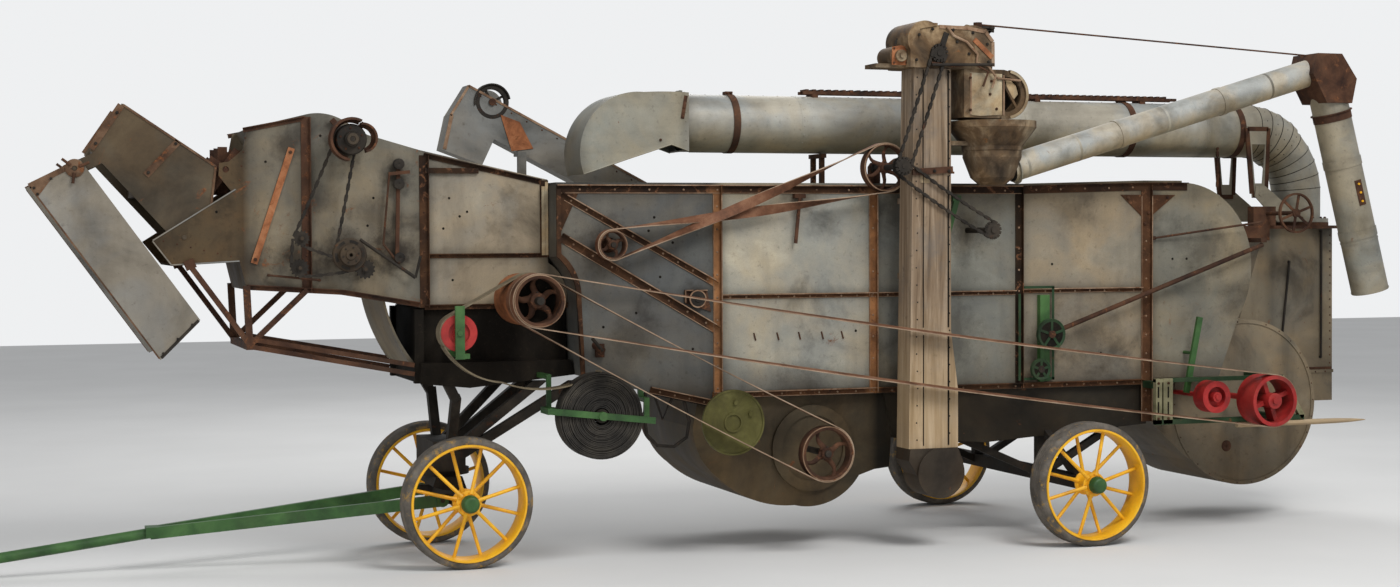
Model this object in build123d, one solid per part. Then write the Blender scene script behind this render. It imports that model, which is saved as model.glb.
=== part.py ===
from build123d import *
import math
import os

# A mobile threshing machine, parked with its tongue on the ground, in millimetres
# X runs to the rear from the front axle, Z runs up, and minus Y is the belt side
origin_x = 1604.0

# Wheels and axles
axle_z = 430.0
tyre_radius = 430.0
tyre_depth = 44.0
tyre_width = 180.0
rim_width = 193.0
rim_depth = 26.0
spoke_radius = 13.0
spoke_count = 12
spoke_sides = 6
hub_radius = 60.0
hub_length = 190.0
flange_radius = 84.0
flange_offset = 58.0
cap_length = 62.0
axle_radius = 30.0
axle_play = 0.3
beam_half = 45.0
front_track = 1226.0
rear_track = 2390.0
wheel_base = 4283.0
ground_z = axle_z - tyre_radius

# Steering and tongue
steer_x = -40.0
turn_plate_radius = 190.0
turn_plate_z = axle_z + 149.0
kingpin_radius = 24.0
tongue_pin_x = -105.0
tongue_pin_z = axle_z - 15.0
tongue_pin_radius = 14.0
tongue_spread = 340.0
tongue_joint_x = -1880.0
tongue_joint_z = axle_z - 171.0
tongue_pipe_radius = 34.0
eye_x = -3800.0
eye_depth = 30.0
tongue_eye_radius = 20.0

# Housings
body_half = 635.0
body_front = 610.0
body_rear = 5410.0
deck_z = 2505.0
sill_z = 1060.0
shoe_half = body_half - 35.0
fan_half = body_half - 75.0
blow_half = body_half - 185.0
trunk_half = 250.0
angle_leg = 30.0
angle_wall = 6.0
post_x = (1736.0, 2890.0, 4030.0, 5075.0)

# Feeder and its folding carriers
feeder_half = 420.0
feeder_rear = -257.0
sheet = 12.0
throat_x = -1760.0
throat_z = 2170.0
fold_x = -2420.0
fold_z = 2600.0
inner_half = feeder_half - sheet - 8.0
outer_half = feeder_half + 26.0
pin_radius = 14.0
pin_play = 0.3
cutter_x = -1500.0
cutter_z = 2600.0
cutter_shaft_radius = 20.0

# Pulleys and their shafts
shaft_radius = 18.0
main_x = 370.0
main_z = 1755.0
main_radius = 169.0
idler_x = -105.0
idler_z = 1551.0
idler_radius = 118.0
reel_x = 840.0
reel_z = 990.0
reel_radius = 288.0
chaff_x = 2391.0
chaff_z = 693.0
chaff_radius = 186.0
blower_x = 5859.0
blower_z = 950.0
blower_radius = 186.0
cross_x = 957.0
cross_z = 2107.0
cross_radius = 98.0
top_x = 2925.0
top_z = deck_z + 125.0
top_radius = 165.0
drum_x = -735.0
drum_z = 2790.0
drum_radius = 140.0
shoe_depth = 14.0
hub_disc_radius = 110.0
hub_disc_slots = 6
tooth_depth = 8.0
chain_pitch = 42.0
chain_width = 20.0
chain_waist = 10.0
belt_thickness = 8.0
belt_lift = 0.2

# Grain elevator, hopper and loader
leg_front = 3036.0
leg_rear = 3315.0
leg_foot_z = 700.0
head_z = 3300.0
weigher_height = 338.0
weigher_low = head_z - weigher_height
hopper_reach = 365.0
hopper_x = leg_rear + hopper_reach
hopper_gap = 12.0
hopper_height = 174.0
hopper_neck_z = weigher_low - hopper_gap - hopper_height
hopper_radius = 306.0
hopper_neck_radius = 211.0
tube_radius = 98.0
tube_wall = 5.0
tube_reach = 2689.0
tube_rise = 746.0
drop_radius = 135.0
drop_length = 1594.0

# Straw fan, turntable and straw pipe
blow_x = 6045.0
blow_z = 888.0
blow_radius = 626.0
blow_ring = 8.0
swing_x = 6820.0
trunk_top_z = 2200.0
turn_z = trunk_top_z + 50.0
pipe_radius = 203.0
pipe_wall = 7.0
slide_gap = 8.0
pipe_clearance = 252.0
pipe_height = deck_z + pipe_clearance + pipe_radius
pipe_end = 1690.0
bend_radius = 490.0
bend_step = 10.0
bend_split = 50.0
hinge_radius = 6.0
bend_x = swing_x - bend_radius
bend_z = pipe_height - bend_radius

os.makedirs("parts", exist_ok=True)


def out(distance):
    """Y of a plane that lies this far outside the near side wall."""
    return -(body_half + distance)


# Planes of the belts and of the elevator leg, from the near side wall
cross_low = out(150.0)
cross_high = out(80.0)
drive_low = out(255.0)
drive_high = out(140.0)
fan_belt_low = out(375.0)
fan_belt_high = out(299.0)
belt_low = out(469.0)
belt_high = out(391.0)
leg_near = out(365.0)
leg_far = out(165.0)
hopper_y = out(265.0)
tube_start = (hopper_x + 140.0, hopper_y, hopper_neck_z - 152.0)
tube_end = (tube_start[0] + tube_reach - 140.0, hopper_y, tube_start[2] + tube_rise)


def put(name, shape):
    """Write one node, with the machine stood on its tyres."""
    moved = Pos(-origin_x, 0, -ground_z) * shape
    export_step(Compound(children=list(moved.solids())), f"parts/{name}.step")


def joined(pieces):
    """Fuse pieces into one shape."""
    return Part() + [solid for piece in pieces for solid in piece.solids()]


def span(side, inner, outer):
    """Low and high Y of a layer on one side of the machine."""
    return sorted([side * inner, side * outer])


def face_of(rows):
    """Closed face in the XZ plane: a row of two is a corner, a row of four an arc."""
    edges = []
    here = rows[0]
    for row in list(rows[1:]) + [rows[0][-2:]]:
        start = (here[-2], 0, here[-1])
        end = (row[-2], 0, row[-1])
        if len(row) == 4:
            edges.append(ThreePointArc(start, (row[0], 0, row[1]), end))
        else:
            edges.append(Line(start, end))
        here = row
    return make_face(Wire(edges))


def slab(rows, y_low, y_high):
    """Profile in XZ run from y_low to y_high."""
    face = Pos(0, y_low, 0) * face_of(rows)
    return extrude(face, amount=y_high - y_low, dir=(0, 1, 0))


def box(x0, x1, y0, y1, z0, z1):
    """Box between two corners."""
    middle = ((x0 + x1) / 2, (y0 + y1) / 2, (z0 + z1) / 2)
    return Pos(*middle) * Box(abs(x1 - x0), abs(y1 - y0), abs(z1 - z0))


def strip(x0, z0, x1, z1, width):
    """Corners of a flat strip along a line in XZ."""
    length = math.hypot(x1 - x0, z1 - z0)
    nx = -(z1 - z0) / length * width / 2
    nz = (x1 - x0) / length * width / 2
    return [(x0 + nx, z0 + nz), (x1 + nx, z1 + nz), (x1 - nx, z1 - nz), (x0 - nx, z0 - nz)]


def bar(start, end, width, depth):
    """Rectangular bar between two points, width across and depth along Y where it can."""
    along = Vector(*end) - Vector(*start)
    across = along.cross(Vector(0, 1, 0))
    plane = Plane(origin=start, x_dir=across, z_dir=along)
    return extrude(plane * Rectangle(width, depth), amount=along.length)


def rod(start, end, radius):
    """Round bar between two points."""
    along = Vector(*end) - Vector(*start)
    return extrude(Plane(origin=start, z_dir=along) * Circle(radius), amount=along.length)


def tube(start, end, radius, wall):
    """Round tube between two points."""
    along = Vector(*end) - Vector(*start)
    section = Circle(radius) - Circle(radius - wall)
    return extrude(Plane(origin=start, z_dir=along) * section, amount=along.length)


def drum(x, z, radius, y0, y1):
    """Cylinder across the machine."""
    return Pos(x, (y0 + y1) / 2, z) * Rot(90, 0, 0) * Cylinder(radius, abs(y1 - y0))


def turned(rows, x, z):
    """Revolve a profile of radius and Y about an axis across the machine."""
    section = make_face(Polyline(*[(r, y, 0) for r, y in rows], close=True))
    return Pos(x, 0, z) * revolve(section, axis=Axis.Y, revolution_arc=360)


def ring_of(rows, x, y):
    """Revolve a profile of radius and height about a vertical axis."""
    section = make_face(Polyline(*[(r, 0, z) for r, z in rows], close=True))
    return Pos(x, y, 0) * revolve(section, axis=Axis.Z, revolution_arc=360)


def pulley(x, z, radius, y0, y1, wall, arms, shaft):
    """Belt pulley across the machine: rim, arms and hub on its shaft."""
    middle = (y0 + y1) / 2
    inner = radius - wall
    rim = turned([(inner, y0), (radius, y0), (radius, y1), (inner, y1)], x, z)
    pieces = [rim, drum(x, z, shaft * 1.9, y0, y1)]
    reach = radius - wall / 2
    for turn in range(arms):
        angle = math.radians(360.0 * turn / arms + 20)
        tip = (x + reach * math.cos(angle), middle, z + reach * math.sin(angle))
        pieces.append(bar((x, middle, z), tip, shaft * 1.1, (y1 - y0) * 0.4))
    return joined(pieces)


def toothed(x, z, radius, teeth, y0, y1):
    """Sprocket across the machine, its teeth cut as one outline."""
    rows = []
    for step in range(teeth):
        for share, reach in ((0.0, radius - tooth_depth), (0.35, radius), (0.65, radius)):
            angle = 2 * math.pi * (step + share) / teeth
            rows.append((x + reach * math.cos(angle), z + reach * math.sin(angle)))
    return slab(rows, y0, y1)


def link_chain(x0, z0, x1, z1, y0, y1):
    """Straight run of link chain: one outline with a waist between links."""
    length = math.hypot(x1 - x0, z1 - z0)
    ux = (x1 - x0) / length
    uz = (z1 - z0) / length
    count = round(length / chain_pitch)
    upper = []
    lower = []
    for step in range(count):
        for share, half in ((0.0, chain_waist / 2), (0.25, chain_width / 2), (0.75, chain_width / 2)):
            along = length * (step + share) / count
            upper.append((x0 + ux * along - uz * half, z0 + uz * along + ux * half))
            lower.append((x0 + ux * along + uz * half, z0 + uz * along - ux * half))
    half = chain_waist / 2
    ends = [(x1 - uz * half, z1 + ux * half), (x1 + uz * half, z1 - ux * half)]
    return slab(upper + ends + lower[::-1], y0, y1)


def angle_iron(x0, z0, x1, z1, width, side, base, leg):
    """Angle iron on a side wall: a flat strip and one standing leg on its upper edge."""
    flat = slab(strip(x0, z0, x1, z1, width), *span(side, base, base + angle_wall))
    length = math.hypot(x1 - x0, z1 - z0)
    shift = width / 2 - angle_wall / 2
    nx = -(z1 - z0) / length * shift
    nz = (x1 - x0) / length * shift
    edge = strip(x0 + nx, z0 + nz, x1 + nx, z1 + nz, angle_wall)
    return flat + slab(edge, *span(side, base, base + leg))


# Wheels

def wheel(x, y, outward):
    """Rim, staggered spokes, flanged hub and plain cap of one wheel."""
    outer = tyre_radius - tyre_depth
    inner = outer - rim_depth
    half = rim_width / 2
    rim = turned([(inner, y - half), (outer, y - half), (outer, y + half), (inner, y + half)], x, axle_z)
    near = flange_offset - 8
    far = flange_offset + 8
    low = -hub_length / 2
    high = hub_length / 2 + cap_length
    rows = [(0, low), (hub_radius, low), (hub_radius, -far), (flange_radius, -far), (flange_radius, -near)]
    rows += [(hub_radius, -near), (hub_radius, near), (flange_radius, near), (flange_radius, far)]
    rows += [(hub_radius, far), (hub_radius, high - 10), (hub_radius - 10, high), (0, high)]
    hub = turned([(r, y + outward * h) for r, h in rows], x, axle_z)
    pieces = [rim, hub]
    for turn in range(spoke_count):
        angle = 2 * math.pi * (turn + 0.5) / spoke_count
        side = 1 if turn % 2 else -1
        start = (x + 50 * math.cos(angle), y + side * flange_offset, axle_z + 50 * math.sin(angle))
        reach = outer - rim_depth / 2
        tip = (x + reach * math.cos(angle), y + side * 22, axle_z + reach * math.sin(angle))
        along = Vector(*tip) - Vector(*start)
        section = Plane(origin=start, z_dir=along) * RegularPolygon(spoke_radius, spoke_sides)
        pieces.append(extrude(section, amount=along.length))
    deep = hub_length / 2 - 30
    bore = drum(x, axle_z, axle_radius + axle_play, y - outward * (hub_length / 2 + 1), y + outward * deep)
    return joined(pieces) - bore


def tyre(x, y):
    """Solid rubber tyre with sloped sides."""
    inner = tyre_radius - tyre_depth
    half = tyre_width / 2
    rows = [(inner, y - half), (tyre_radius, y - half + 10), (tyre_radius, y + half - 10), (inner, y + half)]
    return turned(rows, x, axle_z)


def wheels():
    """Four wheels with their tyres."""
    # Columns: name, X of the axle, side, track
    rows = [("front_near", 0.0, -1, front_track), ("front_far", 0.0, 1, front_track)]
    rows += [("rear_near", wheel_base, -1, rear_track), ("rear_far", wheel_base, 1, rear_track)]
    for name, x, side, track in rows:
        y = side * track / 2
        put("wheel_" + name, wheel(x, y, side))
        put("tyre_" + name, tyre(x, y))


def axle(x, track):
    """Square axle beam with a round spindle for each wheel."""
    end = track / 2 - hub_length / 2 - 6
    tip = track / 2 + hub_length / 2 - 35
    beam = box(x - beam_half, x + beam_half, -end, end, axle_z - beam_half, axle_z + beam_half)
    return beam + drum(x, axle_z, axle_radius, -tip, tip)


def front_axle():
    """Steered axle with bolster, turning plate, kingpin and tongue ears."""
    top = axle_z + beam_half
    low = turn_plate_z - 19.0
    rows = [(-80, top), (80, top), (50, low), (-130, low), (-150, low - 60)]
    plate = Pos(steer_x, 0, turn_plate_z - 9.5) * Cylinder(turn_plate_radius, 19)
    pin = Pos(steer_x, 0, turn_plate_z + 81) * Cylinder(kingpin_radius, 200)
    pieces = [axle(0.0, front_track), slab(rows, -270, 270), plate, pin]
    for side in (-1, 1):
        y = side * (tongue_spread - 40)
        pieces.append(box(tongue_pin_x - 25, -40, y - 12, y + 12, axle_z - beam_half, axle_z + 20))
        shank = span(side, tongue_spread - 28, tongue_spread + 28)
        pieces.append(drum(tongue_pin_x, tongue_pin_z, tongue_pin_radius, *shank))
    return joined(pieces)


def tongue():
    """Drawbar of two channels that meet in a pipe, with a level eye on the ground."""
    eye_top = ground_z + eye_depth
    pipe_low = (eye_x + 95, 0, eye_top + 9)
    pieces = [rod((tongue_joint_x, 0, tongue_joint_z), pipe_low, tongue_pipe_radius)]
    end = (tongue_joint_x - 80, tongue_joint_z - 9)
    for side in (-1, 1):
        y = side * tongue_spread
        pieces.append(bar((tongue_pin_x, y, tongue_pin_z), (end[0], side * 22, end[1]), 76, 42))
        pieces.append(drum(tongue_pin_x, tongue_pin_z, 42, y - 21, y + 21))
    x = tongue_joint_x
    pieces.append(box(x - 110, x + 50, -60, 60, tongue_joint_z - 37, tongue_joint_z + 33))
    pieces.append(Pos(eye_x, 0, eye_top - eye_depth / 2) * Cylinder(62, eye_depth))
    pieces.append(box(eye_x + 10, eye_x + 140, -30, 30, ground_z, eye_top))
    pieces.append(box(eye_x + 80, eye_x + 160, -30, 30, ground_z, eye_top + 20))
    body = joined(pieces)
    for side in (-1, 1):
        y = side * tongue_spread
        body -= drum(tongue_pin_x, tongue_pin_z, tongue_pin_radius + pin_play, y - 30, y + 30)
    return body - Pos(eye_x, 0, eye_top - eye_depth / 2) * Cylinder(tongue_eye_radius, 40)


# Lower edge of the pan under the cylinder, and everything above it
pan_rows = [(-270, 1204), (53, 1170), (770, 1240)]


def above_pan():
    rows = [(-300, 1204)] + pan_rows[1:] + [(1400, 1120), (1400, 1500), (-300, 1500)]
    return slab(rows, -700, 700)


def front_legs():
    """Fixed bolster over the turning plate, with four legs up to the pan."""
    low = turn_plate_z + 21.0
    block = box(-150, 70, -280, 280, low, low + 200)
    plate = Pos(steer_x, 0, turn_plate_z + 10.5) * Cylinder(turn_plate_radius, 21)
    pieces = [block, plate]
    for side in (-1, 1):
        pieces.append(bar((-20, side * 225, low + 160), (-20, side * 400, 1110), 62, 62))
        pieces.append(bar((-20, side * 396, 1085), (-85, side * 430, 1203), 62, 62))
        pieces.append(bar((30, side * 250, low + 160), (560, side * 470, 1229), 62, 62))
        pieces.append(bar((30, side * 250, low + 100), (790, side * 560, 1215), 62, 62))
    socket = Pos(steer_x, 0, turn_plate_z + 91) * Cylinder(kingpin_radius + 5, 190)
    return joined(pieces) - socket - box(-400, 1000, -700, 700, 1204, 1400) - above_pan()


def rear_axle():
    """Rear axle hung below the housing by uprights and braces."""
    pieces = [axle(wheel_base, rear_track)]
    for side in (-1, 1):
        y = side * (shoe_half - 100)
        pieces.append(box(wheel_base - 40, wheel_base + 40, y - 30, y + 30, axle_z + 40, 760))
        pieces.append(bar((wheel_base - 20, y, axle_z), (3500, y, 760), 50, 50))
        pieces.append(bar((wheel_base + 20, y, axle_z), (4960, y, 800), 50, 50))
        top = (wheel_base, side * (shoe_half - 60), 760)
        pieces.append(bar((wheel_base, side * (rear_track / 2 - 135), axle_z + 10), top, 50, 50))
    return joined(pieces) - shoe_housing()


# Main housing

body_rows = [(body_front, deck_z), (4050, deck_z + 5), (5080, deck_z + 35), (body_rear, deck_z + 35)]
body_rows += [(5820, deck_z - 160, 5975, 2000), (5960, 1760, 5870, 1546), (5700, sill_z + 46)]
body_rows += [(5130, sill_z + 46), (5100, sill_z), (1850, sill_z), (1668, sill_z - 40), (1254, 1117)]
body_rows += [(770, 1240), (745, 1740), (712, 1900, body_front, 2030)]


def body_shell():
    return slab(body_rows, -body_half, body_half)


def body_deck():
    """Low roof on the housing, with a step over the rear third."""
    rows = [(body_front + 10, deck_z - 5), (4050, deck_z - 5), (body_rear - 10, deck_z - 5)]
    rows += [(body_rear - 10, deck_z + 51), (5080, deck_z + 51), (4050, deck_z + 23)]
    rows.append((body_front + 10, deck_z + 18))
    return slab(rows, -shoe_half, shoe_half) - body_shell()


def shoe_housing():
    rows = [(2990, sill_z), (5100, sill_z), (5100, 770), (3780, 680), (3060, 740)]
    return slab(rows, -shoe_half, shoe_half)


def side_frame(side):
    """Chords, posts, diagonals, ledges and gussets on one side wall."""
    chord = deck_z - 27
    wide = 58
    # Columns: X and Z of one end, X and Z of the other, width
    rows = [(body_front + 2, chord, 4050, chord + 5, wide), (4040, chord + 5, 5080, chord + 34, wide)]
    rows += [(5070, chord + 34, body_rear + 10, chord + 34, wide)]
    rows.append((post_x[0], deck_z - 5, post_x[0], sill_z - 20, wide))
    rows.append((post_x[1], deck_z - 5, post_x[1], sill_z + 6, wide))
    rows += [(post_x[2], deck_z - 5, post_x[2], sill_z + 6, 54), (post_x[3], deck_z + 15, post_x[3], 790, 80)]
    rows += [(640, 2440, post_x[0], 1832, 44), (640, 2160, post_x[0], 1525, 60)]
    rows += [(post_x[0] + 24, 1750, post_x[2] - 20, 1750, 34), (post_x[2] + 20, 1760, post_x[3] - 35, 1760, 34)]
    rows += [(1254, 1132, 1700, sill_z - 30, 46), (1700, sill_z + 23, 2900, sill_z + 23, 42)]
    rows += [(2880, sill_z + 23, 5060, sill_z + 23, 40)]
    pieces = [angle_iron(x0, z0, x1, z1, w, side, body_half, angle_leg) for x0, z0, x1, z1, w in rows]
    corner = [(612, 2450), (612, 2130), (760, 2450)]
    bracket = [(4860, 2450), (5320, 2450), (5110, 2290), (5110, 2200), (5040, 2200), (5040, 2290)]
    for gusset in (corner, bracket):
        pieces.append(slab(gusset, *span(side, body_half, body_half + angle_wall)))
    edge = [(610, 2030), (712, 1900, 745, 1740), (770, 1240), (800, 1240), (776, 1745), (742, 1920, 640, 2050)]
    edge += [(640, chord), (610, chord)]
    pieces.append(slab(edge, *span(side, body_half, body_half + 16)))
    return joined(pieces)


def near_frame():
    return side_frame(-1)


def far_frame():
    return side_frame(1)


def wall_pulley():
    """Small guide pulley on its plate between the two diagonals."""
    low = out(8)
    plate = slab([(1500, 1712), (1500, 1800), (1660, 1800), (1690, 1650)], low, out(0))
    return joined([plate, drum(1583, 1740, 62, out(44), out(20)), drum(1583, 1740, 20, out(50), low)])


def hang_lever():
    """Flat lever that hangs on the wall below the top chord."""
    lever = slab(strip(2330, deck_z - 60, 2296, 2110, 22), out(45), out(31))
    return lever + box(2290, 2370, out(45), out(0), 2420, 2448)


def cylinder_house():
    """Narrow front panels over the threshing cylinder."""
    rows = [(feeder_rear, deck_z + 230), (body_front, deck_z + 40), (body_front, 1990)]
    rows += [(712, 1880, 741, 1740), (741, 1690), (feeder_rear, 1700)]
    return slab(rows, -feeder_half, feeder_half) - body_shell()


def cylinder_frame():
    """Rusty angles round the cylinder panels, on both sides."""
    left = feeder_rear + 29
    pieces = []
    for side in (-1, 1):
        rows = [(left, deck_z + 195, left, 1700, 60), (left + 28, 2040, 600, 2040, 30)]
        rows.append((left, 1704, 741, 1704, 34))
        rows += [(left, deck_z + 195, 560, deck_z + 25, 34), (582, deck_z + 35, 582, 2030, 50)]
        pieces += [angle_iron(x0, z0, x1, z1, w, side, feeder_half, angle_leg) for x0, z0, x1, z1, w in rows]
        ledge = strip(left + 3, 2600, left + 363, 2600, 36)
        pieces.append(slab(ledge, *span(side, feeder_half, feeder_half + 22)))
    return joined(pieces)


def cylinder_trough():
    """Dark recess and wedge pan below the cylinder, with its corner posts."""
    pieces = [slab([(-270, 1700), (741, 1690), (741, 1330), (-270, 1330)], 40 - feeder_half, feeder_half - 40)]
    pan = [(-270, 1340), (744, 1340)] + pan_rows[::-1]
    pieces.append(slab(pan, -80 - feeder_half, feeder_half + 80))
    for side in (-1, 1):
        y = side * (feeder_half - 10)
        pieces.append(box(-300, -240, y - 30, y + 30, 1204, 1690))
    return joined(pieces) - body_shell()


def front_sheet():
    """Curved tan sheet between the feeder floor and the trough."""
    rows = [(-490, 1765), (-400, 1500, -300, 1345), (-300, 1330), (-325, 1330), (-420, 1500, -505, 1765)]
    half = feeder_half - 20
    return slab(rows, -half, half) - slab(feeder_rows, -feeder_half, feeder_half)


# Feeder

feeder_rows = [(-1959, 2141), (-1838, 1989), (-1417, 2011), (-1375, 1832), (-750, 1791), (feeder_rear, 1704)]
feeder_rows += [(feeder_rear, deck_z + 230), (-595, 2830), (-757, 2925), (-890, 2965, -1009, 2952)]
feeder_rows += [(-1364, 2864), (-1443, 2469)]
throat_rows = [(-2100, 2320), (-2100, 2002), (-1838, 2001), (-1405, 2024), (-1000, 2060), (-1000, 2640)]
throat_rows += [(-1290, 2780), (-1372, 2920), (-2100, 2920)]


def feeder_house():
    """Feeder housing with an open throat and the bearings of its shafts."""
    body = slab(feeder_rows, -feeder_half, feeder_half)
    body -= slab(throat_rows, sheet - feeder_half, feeder_half - sheet)
    body = joined([body, cutter_ears()])
    body -= drum(throat_x, throat_z, pin_radius + pin_play, -500, 500)
    return body - drum(cutter_x, cutter_z, cutter_shaft_radius + pin_play, -500, 500)


def cutter_ears():
    """Wall ears that carry the knife shaft."""
    rows = [(-1380, 2420), (-1350, 2760), (-1480, 2650), (-1540, 2640), (-1545, 2560), (-1450, 2440)]
    return joined([slab(rows, *span(side, feeder_half - sheet, feeder_half)) for side in (-1, 1)])


def band_cutter():
    """Knife shaft in the feeder mouth."""
    y = feeder_half - sheet
    pieces = [drum(cutter_x, cutter_z, cutter_shaft_radius, -y - 6, y + 6)]
    for turn in range(7):
        tilt = 0 if turn % 2 else 35
        place = Pos(cutter_x, 120 * (turn - 3), cutter_z) * Rot(0, tilt, 0)
        pieces.append(place * (Box(60, 8, 300) + Box(240, 8, 50)))
    return joined(pieces)


def feeder_angles(side):
    """Angle irons on one side of the feeder."""
    rows = [(-995, 2940, -995, 1815, 60), (-1375, 1850, -750, 1808, 34), (-760, 1808, -262, 1722, 34)]
    rows += [(-1390, 2850, -1000, 2930, 30)]
    return joined([angle_iron(x0, z0, x1, z1, w, side, feeder_half, angle_leg) for x0, z0, x1, z1, w in rows])


def feeder_frame():
    """Rusty angles on both sides of the feeder, its hanging foot and long braces."""
    base = feeder_half
    foot = (-1362, 1480)
    pieces = []
    for side in (-1, 1):
        pieces.append(feeder_angles(side))
        y = side * (base + 16)
        # Columns: X and Z of one end, X and Z of the other, width
        rows = [(-1380, 1860, foot[0], foot[1] - 20, 44), (foot[0], foot[1], -1728, 1990, 34)]
        rows += [(foot[0], foot[1], -995, 1830, 34), (foot[0], foot[1] + 40, -305, 1326, 30)]
        rows += [(foot[0], foot[1] - 10, -305, 1267, 30)]
        pieces += [bar((x0, y, z0), (x1, y, z1), w, 32) for x0, z0, x1, z1, w in rows]
        pieces.append(slab(strip(-1760, 1985, -1700, 2010, 60), *span(side, base, base + 32)))
    pieces.append(box(foot[0] - 22, foot[0] + 22, -base - 32, base + 32, foot[1] - 30, foot[1] + 14))
    return joined(pieces)


def feeder_strap():
    """Rusty strap on the near feeder wall."""
    return slab(strip(-1085, 2740, -1330, 2000, 44), -feeder_half - 8, -feeder_half)


def shoe(x, z, inner, outer, start, end, y0, y1):
    """Curved plate across the machine between two radii and two angles in degrees."""
    spots = []
    for reach, angles in ((outer, (start, (start + end) / 2, end)), (inner, (end, (start + end) / 2, start))):
        for angle in angles:
            turn = math.radians(angle)
            spots.append((x + reach * math.cos(turn), z + reach * math.sin(turn)))
    return slab([spots[0], spots[1] + spots[2], spots[3], spots[4] + spots[5]], y0, y1)


def feeder_drum():
    """Governor on top of the feeder: flanged drum between two curved shoes, and its yoke."""
    y = -feeder_half
    # Columns: X, Z, outer radius and web radius of a curved shoe, its start and end in degrees
    shoes = [(drum_x, drum_z, drum_radius, 90, 62, 262), (drum_x + 70, drum_z + 10, 98, 50, -75, 95)]
    pieces = []
    for x, z, outer, web, start, end in shoes:
        pieces.append(shoe(x, z, outer - shoe_depth, outer, start, end, y - 250, y - 150))
        pieces.append(shoe(x, z, web, outer, start, end, y - 170, y - 150))
    rows = [(0, y - 270), (18, y - 270), (18, y - 250), (50, y - 244), (50, y - 214), (92, y - 210)]
    rows += [(100, y - 200), (100, y - 40), (18, y - 40), (18, y), (0, y)]
    pieces.append(turned(rows, drum_x, drum_z))
    for x1, z1 in ((drum_x - 95, drum_z + 135), (drum_x + 115, drum_z + 110)):
        pieces.append(slab(strip(drum_x, drum_z + 22, x1, z1, 34), y - 34, y - 14))
    return joined(pieces)


def slotted_disc(x, z, y0, y1):
    """Disc with a ring of slots round its hub."""
    body = drum(x, z, hub_disc_radius, y0, y1)
    for step in range(hub_disc_slots):
        place = Pos(x, (y0 + y1) / 2, z) * Rot(0, 360 / hub_disc_slots * (step + 0.5), 0) * Pos(85, 0, 0)
        body -= place * Box(22, 40, 54)
    return body


def feeder_drive():
    """Sprockets, slotted disc and chains on the near side of the feeder."""
    y = -feeder_half
    hub_x = -740.0
    hub_z = 2052.0
    pieces = [drum(hub_x, hub_z, 60, y - 190, y), drum(hub_x, hub_z, 30, y - 202, y)]
    pieces.append(slotted_disc(hub_x, hub_z, y - 152, y - 134))
    # Columns: X, Z, radius of the sprocket, its teeth, radius of its boss
    rows = [(hub_x, hub_z, 104, 20, 60), (-1058, 1971, 62, 12, 20), (-1044, 2160, 54, 11, 20)]
    rows += [(-640, 1960, 66, 13, 20)]
    for x, z, radius, teeth, boss in rows:
        pieces.append(toothed(x, z, radius, teeth, y - 130, y - 110))
        pieces.append(drum(x, z, boss, y - 150, y))
    # Columns: X and Z of one end of a chain, X and Z of the other
    rows = [(drum_x - 100, drum_z, hub_x - 102, hub_z), (-640, drum_z - 30, -640, hub_z)]
    rows += [(-720, 2150, -1035, 2205), (hub_x, 1950, -1060, 1920), (-1098, 2160, -1106, 1971)]
    pieces += [link_chain(*row, y - 128, y - 112) for row in rows]
    return joined(pieces) - drum(drum_x, drum_z, 104, y - 152, y - 38) - feeder_angles(-1)


def feeder_spools():
    """Spools with their lever rods beside the front post."""
    y = -feeder_half
    pieces = [slab(strip(-400, 2660, -415, 1980, 26), y - 40, y - 20)]
    for z in (2640, 2510, 2030):
        pieces.append(drum(-402, z, 34, y - 70, y - 20))
        pieces.append(drum(-402, z, 12, y - 74, y))
    pieces.append(slab(strip(-470, 2575, -330, 2590, 24), y - 60, y - 40))
    return joined(pieces)


# Folding carriers

def inner_carrier():
    """Inner length of the bundle carrier, folded up: two side boards on a cross frame."""
    rows = [(-2130, 3009), (-1566, 2627), (-1600, 2350), (-1700, 2120), (-1800, 2130), (-2325, 2715)]
    pieces = []
    for side in (-1, 1):
        layer = span(side, inner_half - sheet, inner_half)
        pieces.append(slab(rows, *layer))
        pieces.append(slab(strip(-2230, 2690, fold_x, fold_z, 80), *layer))
        pieces.append(drum(fold_x, fold_z, 40, *layer))
        pieces.append(drum(fold_x, fold_z, pin_radius, *span(side, inner_half - sheet, outer_half + 8)))
        pieces.append(drum(throat_x, throat_z, pin_radius, *span(side, inner_half - sheet, feeder_half + 8)))
    for x, z in ((-2270, 2720), (-1790, 2185), (-2030, 2450)):
        pieces.append(box(x - 20, x + 20, -inner_half, inner_half, z - 20, z + 20))
    return joined(pieces)


def raddle(start, end, half, count, lift):
    """Slatted bed between two points: a flat layer with cross slats."""
    x0, z0 = start
    x1, z1 = end
    length = math.hypot(x1 - x0, z1 - z0)
    ux = (x1 - x0) / length
    uz = (z1 - z0) / length
    pieces = [slab(strip(x0, z0, x1, z1, 16), -half, half)]
    for step in range(count):
        along = length * (step + 0.5) / count
        x = x0 + ux * along
        z = z0 + uz * along
        slat = strip(x + uz * lift, z - ux * lift, x - uz * lift, z + ux * lift, 24)
        pieces.append(slab(slat, -half, half))
    return joined(pieces)


def inner_raddle():
    return raddle((-2245, 2752), (throat_x - 5, throat_z + 66), inner_half - sheet, 8, 24)


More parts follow.
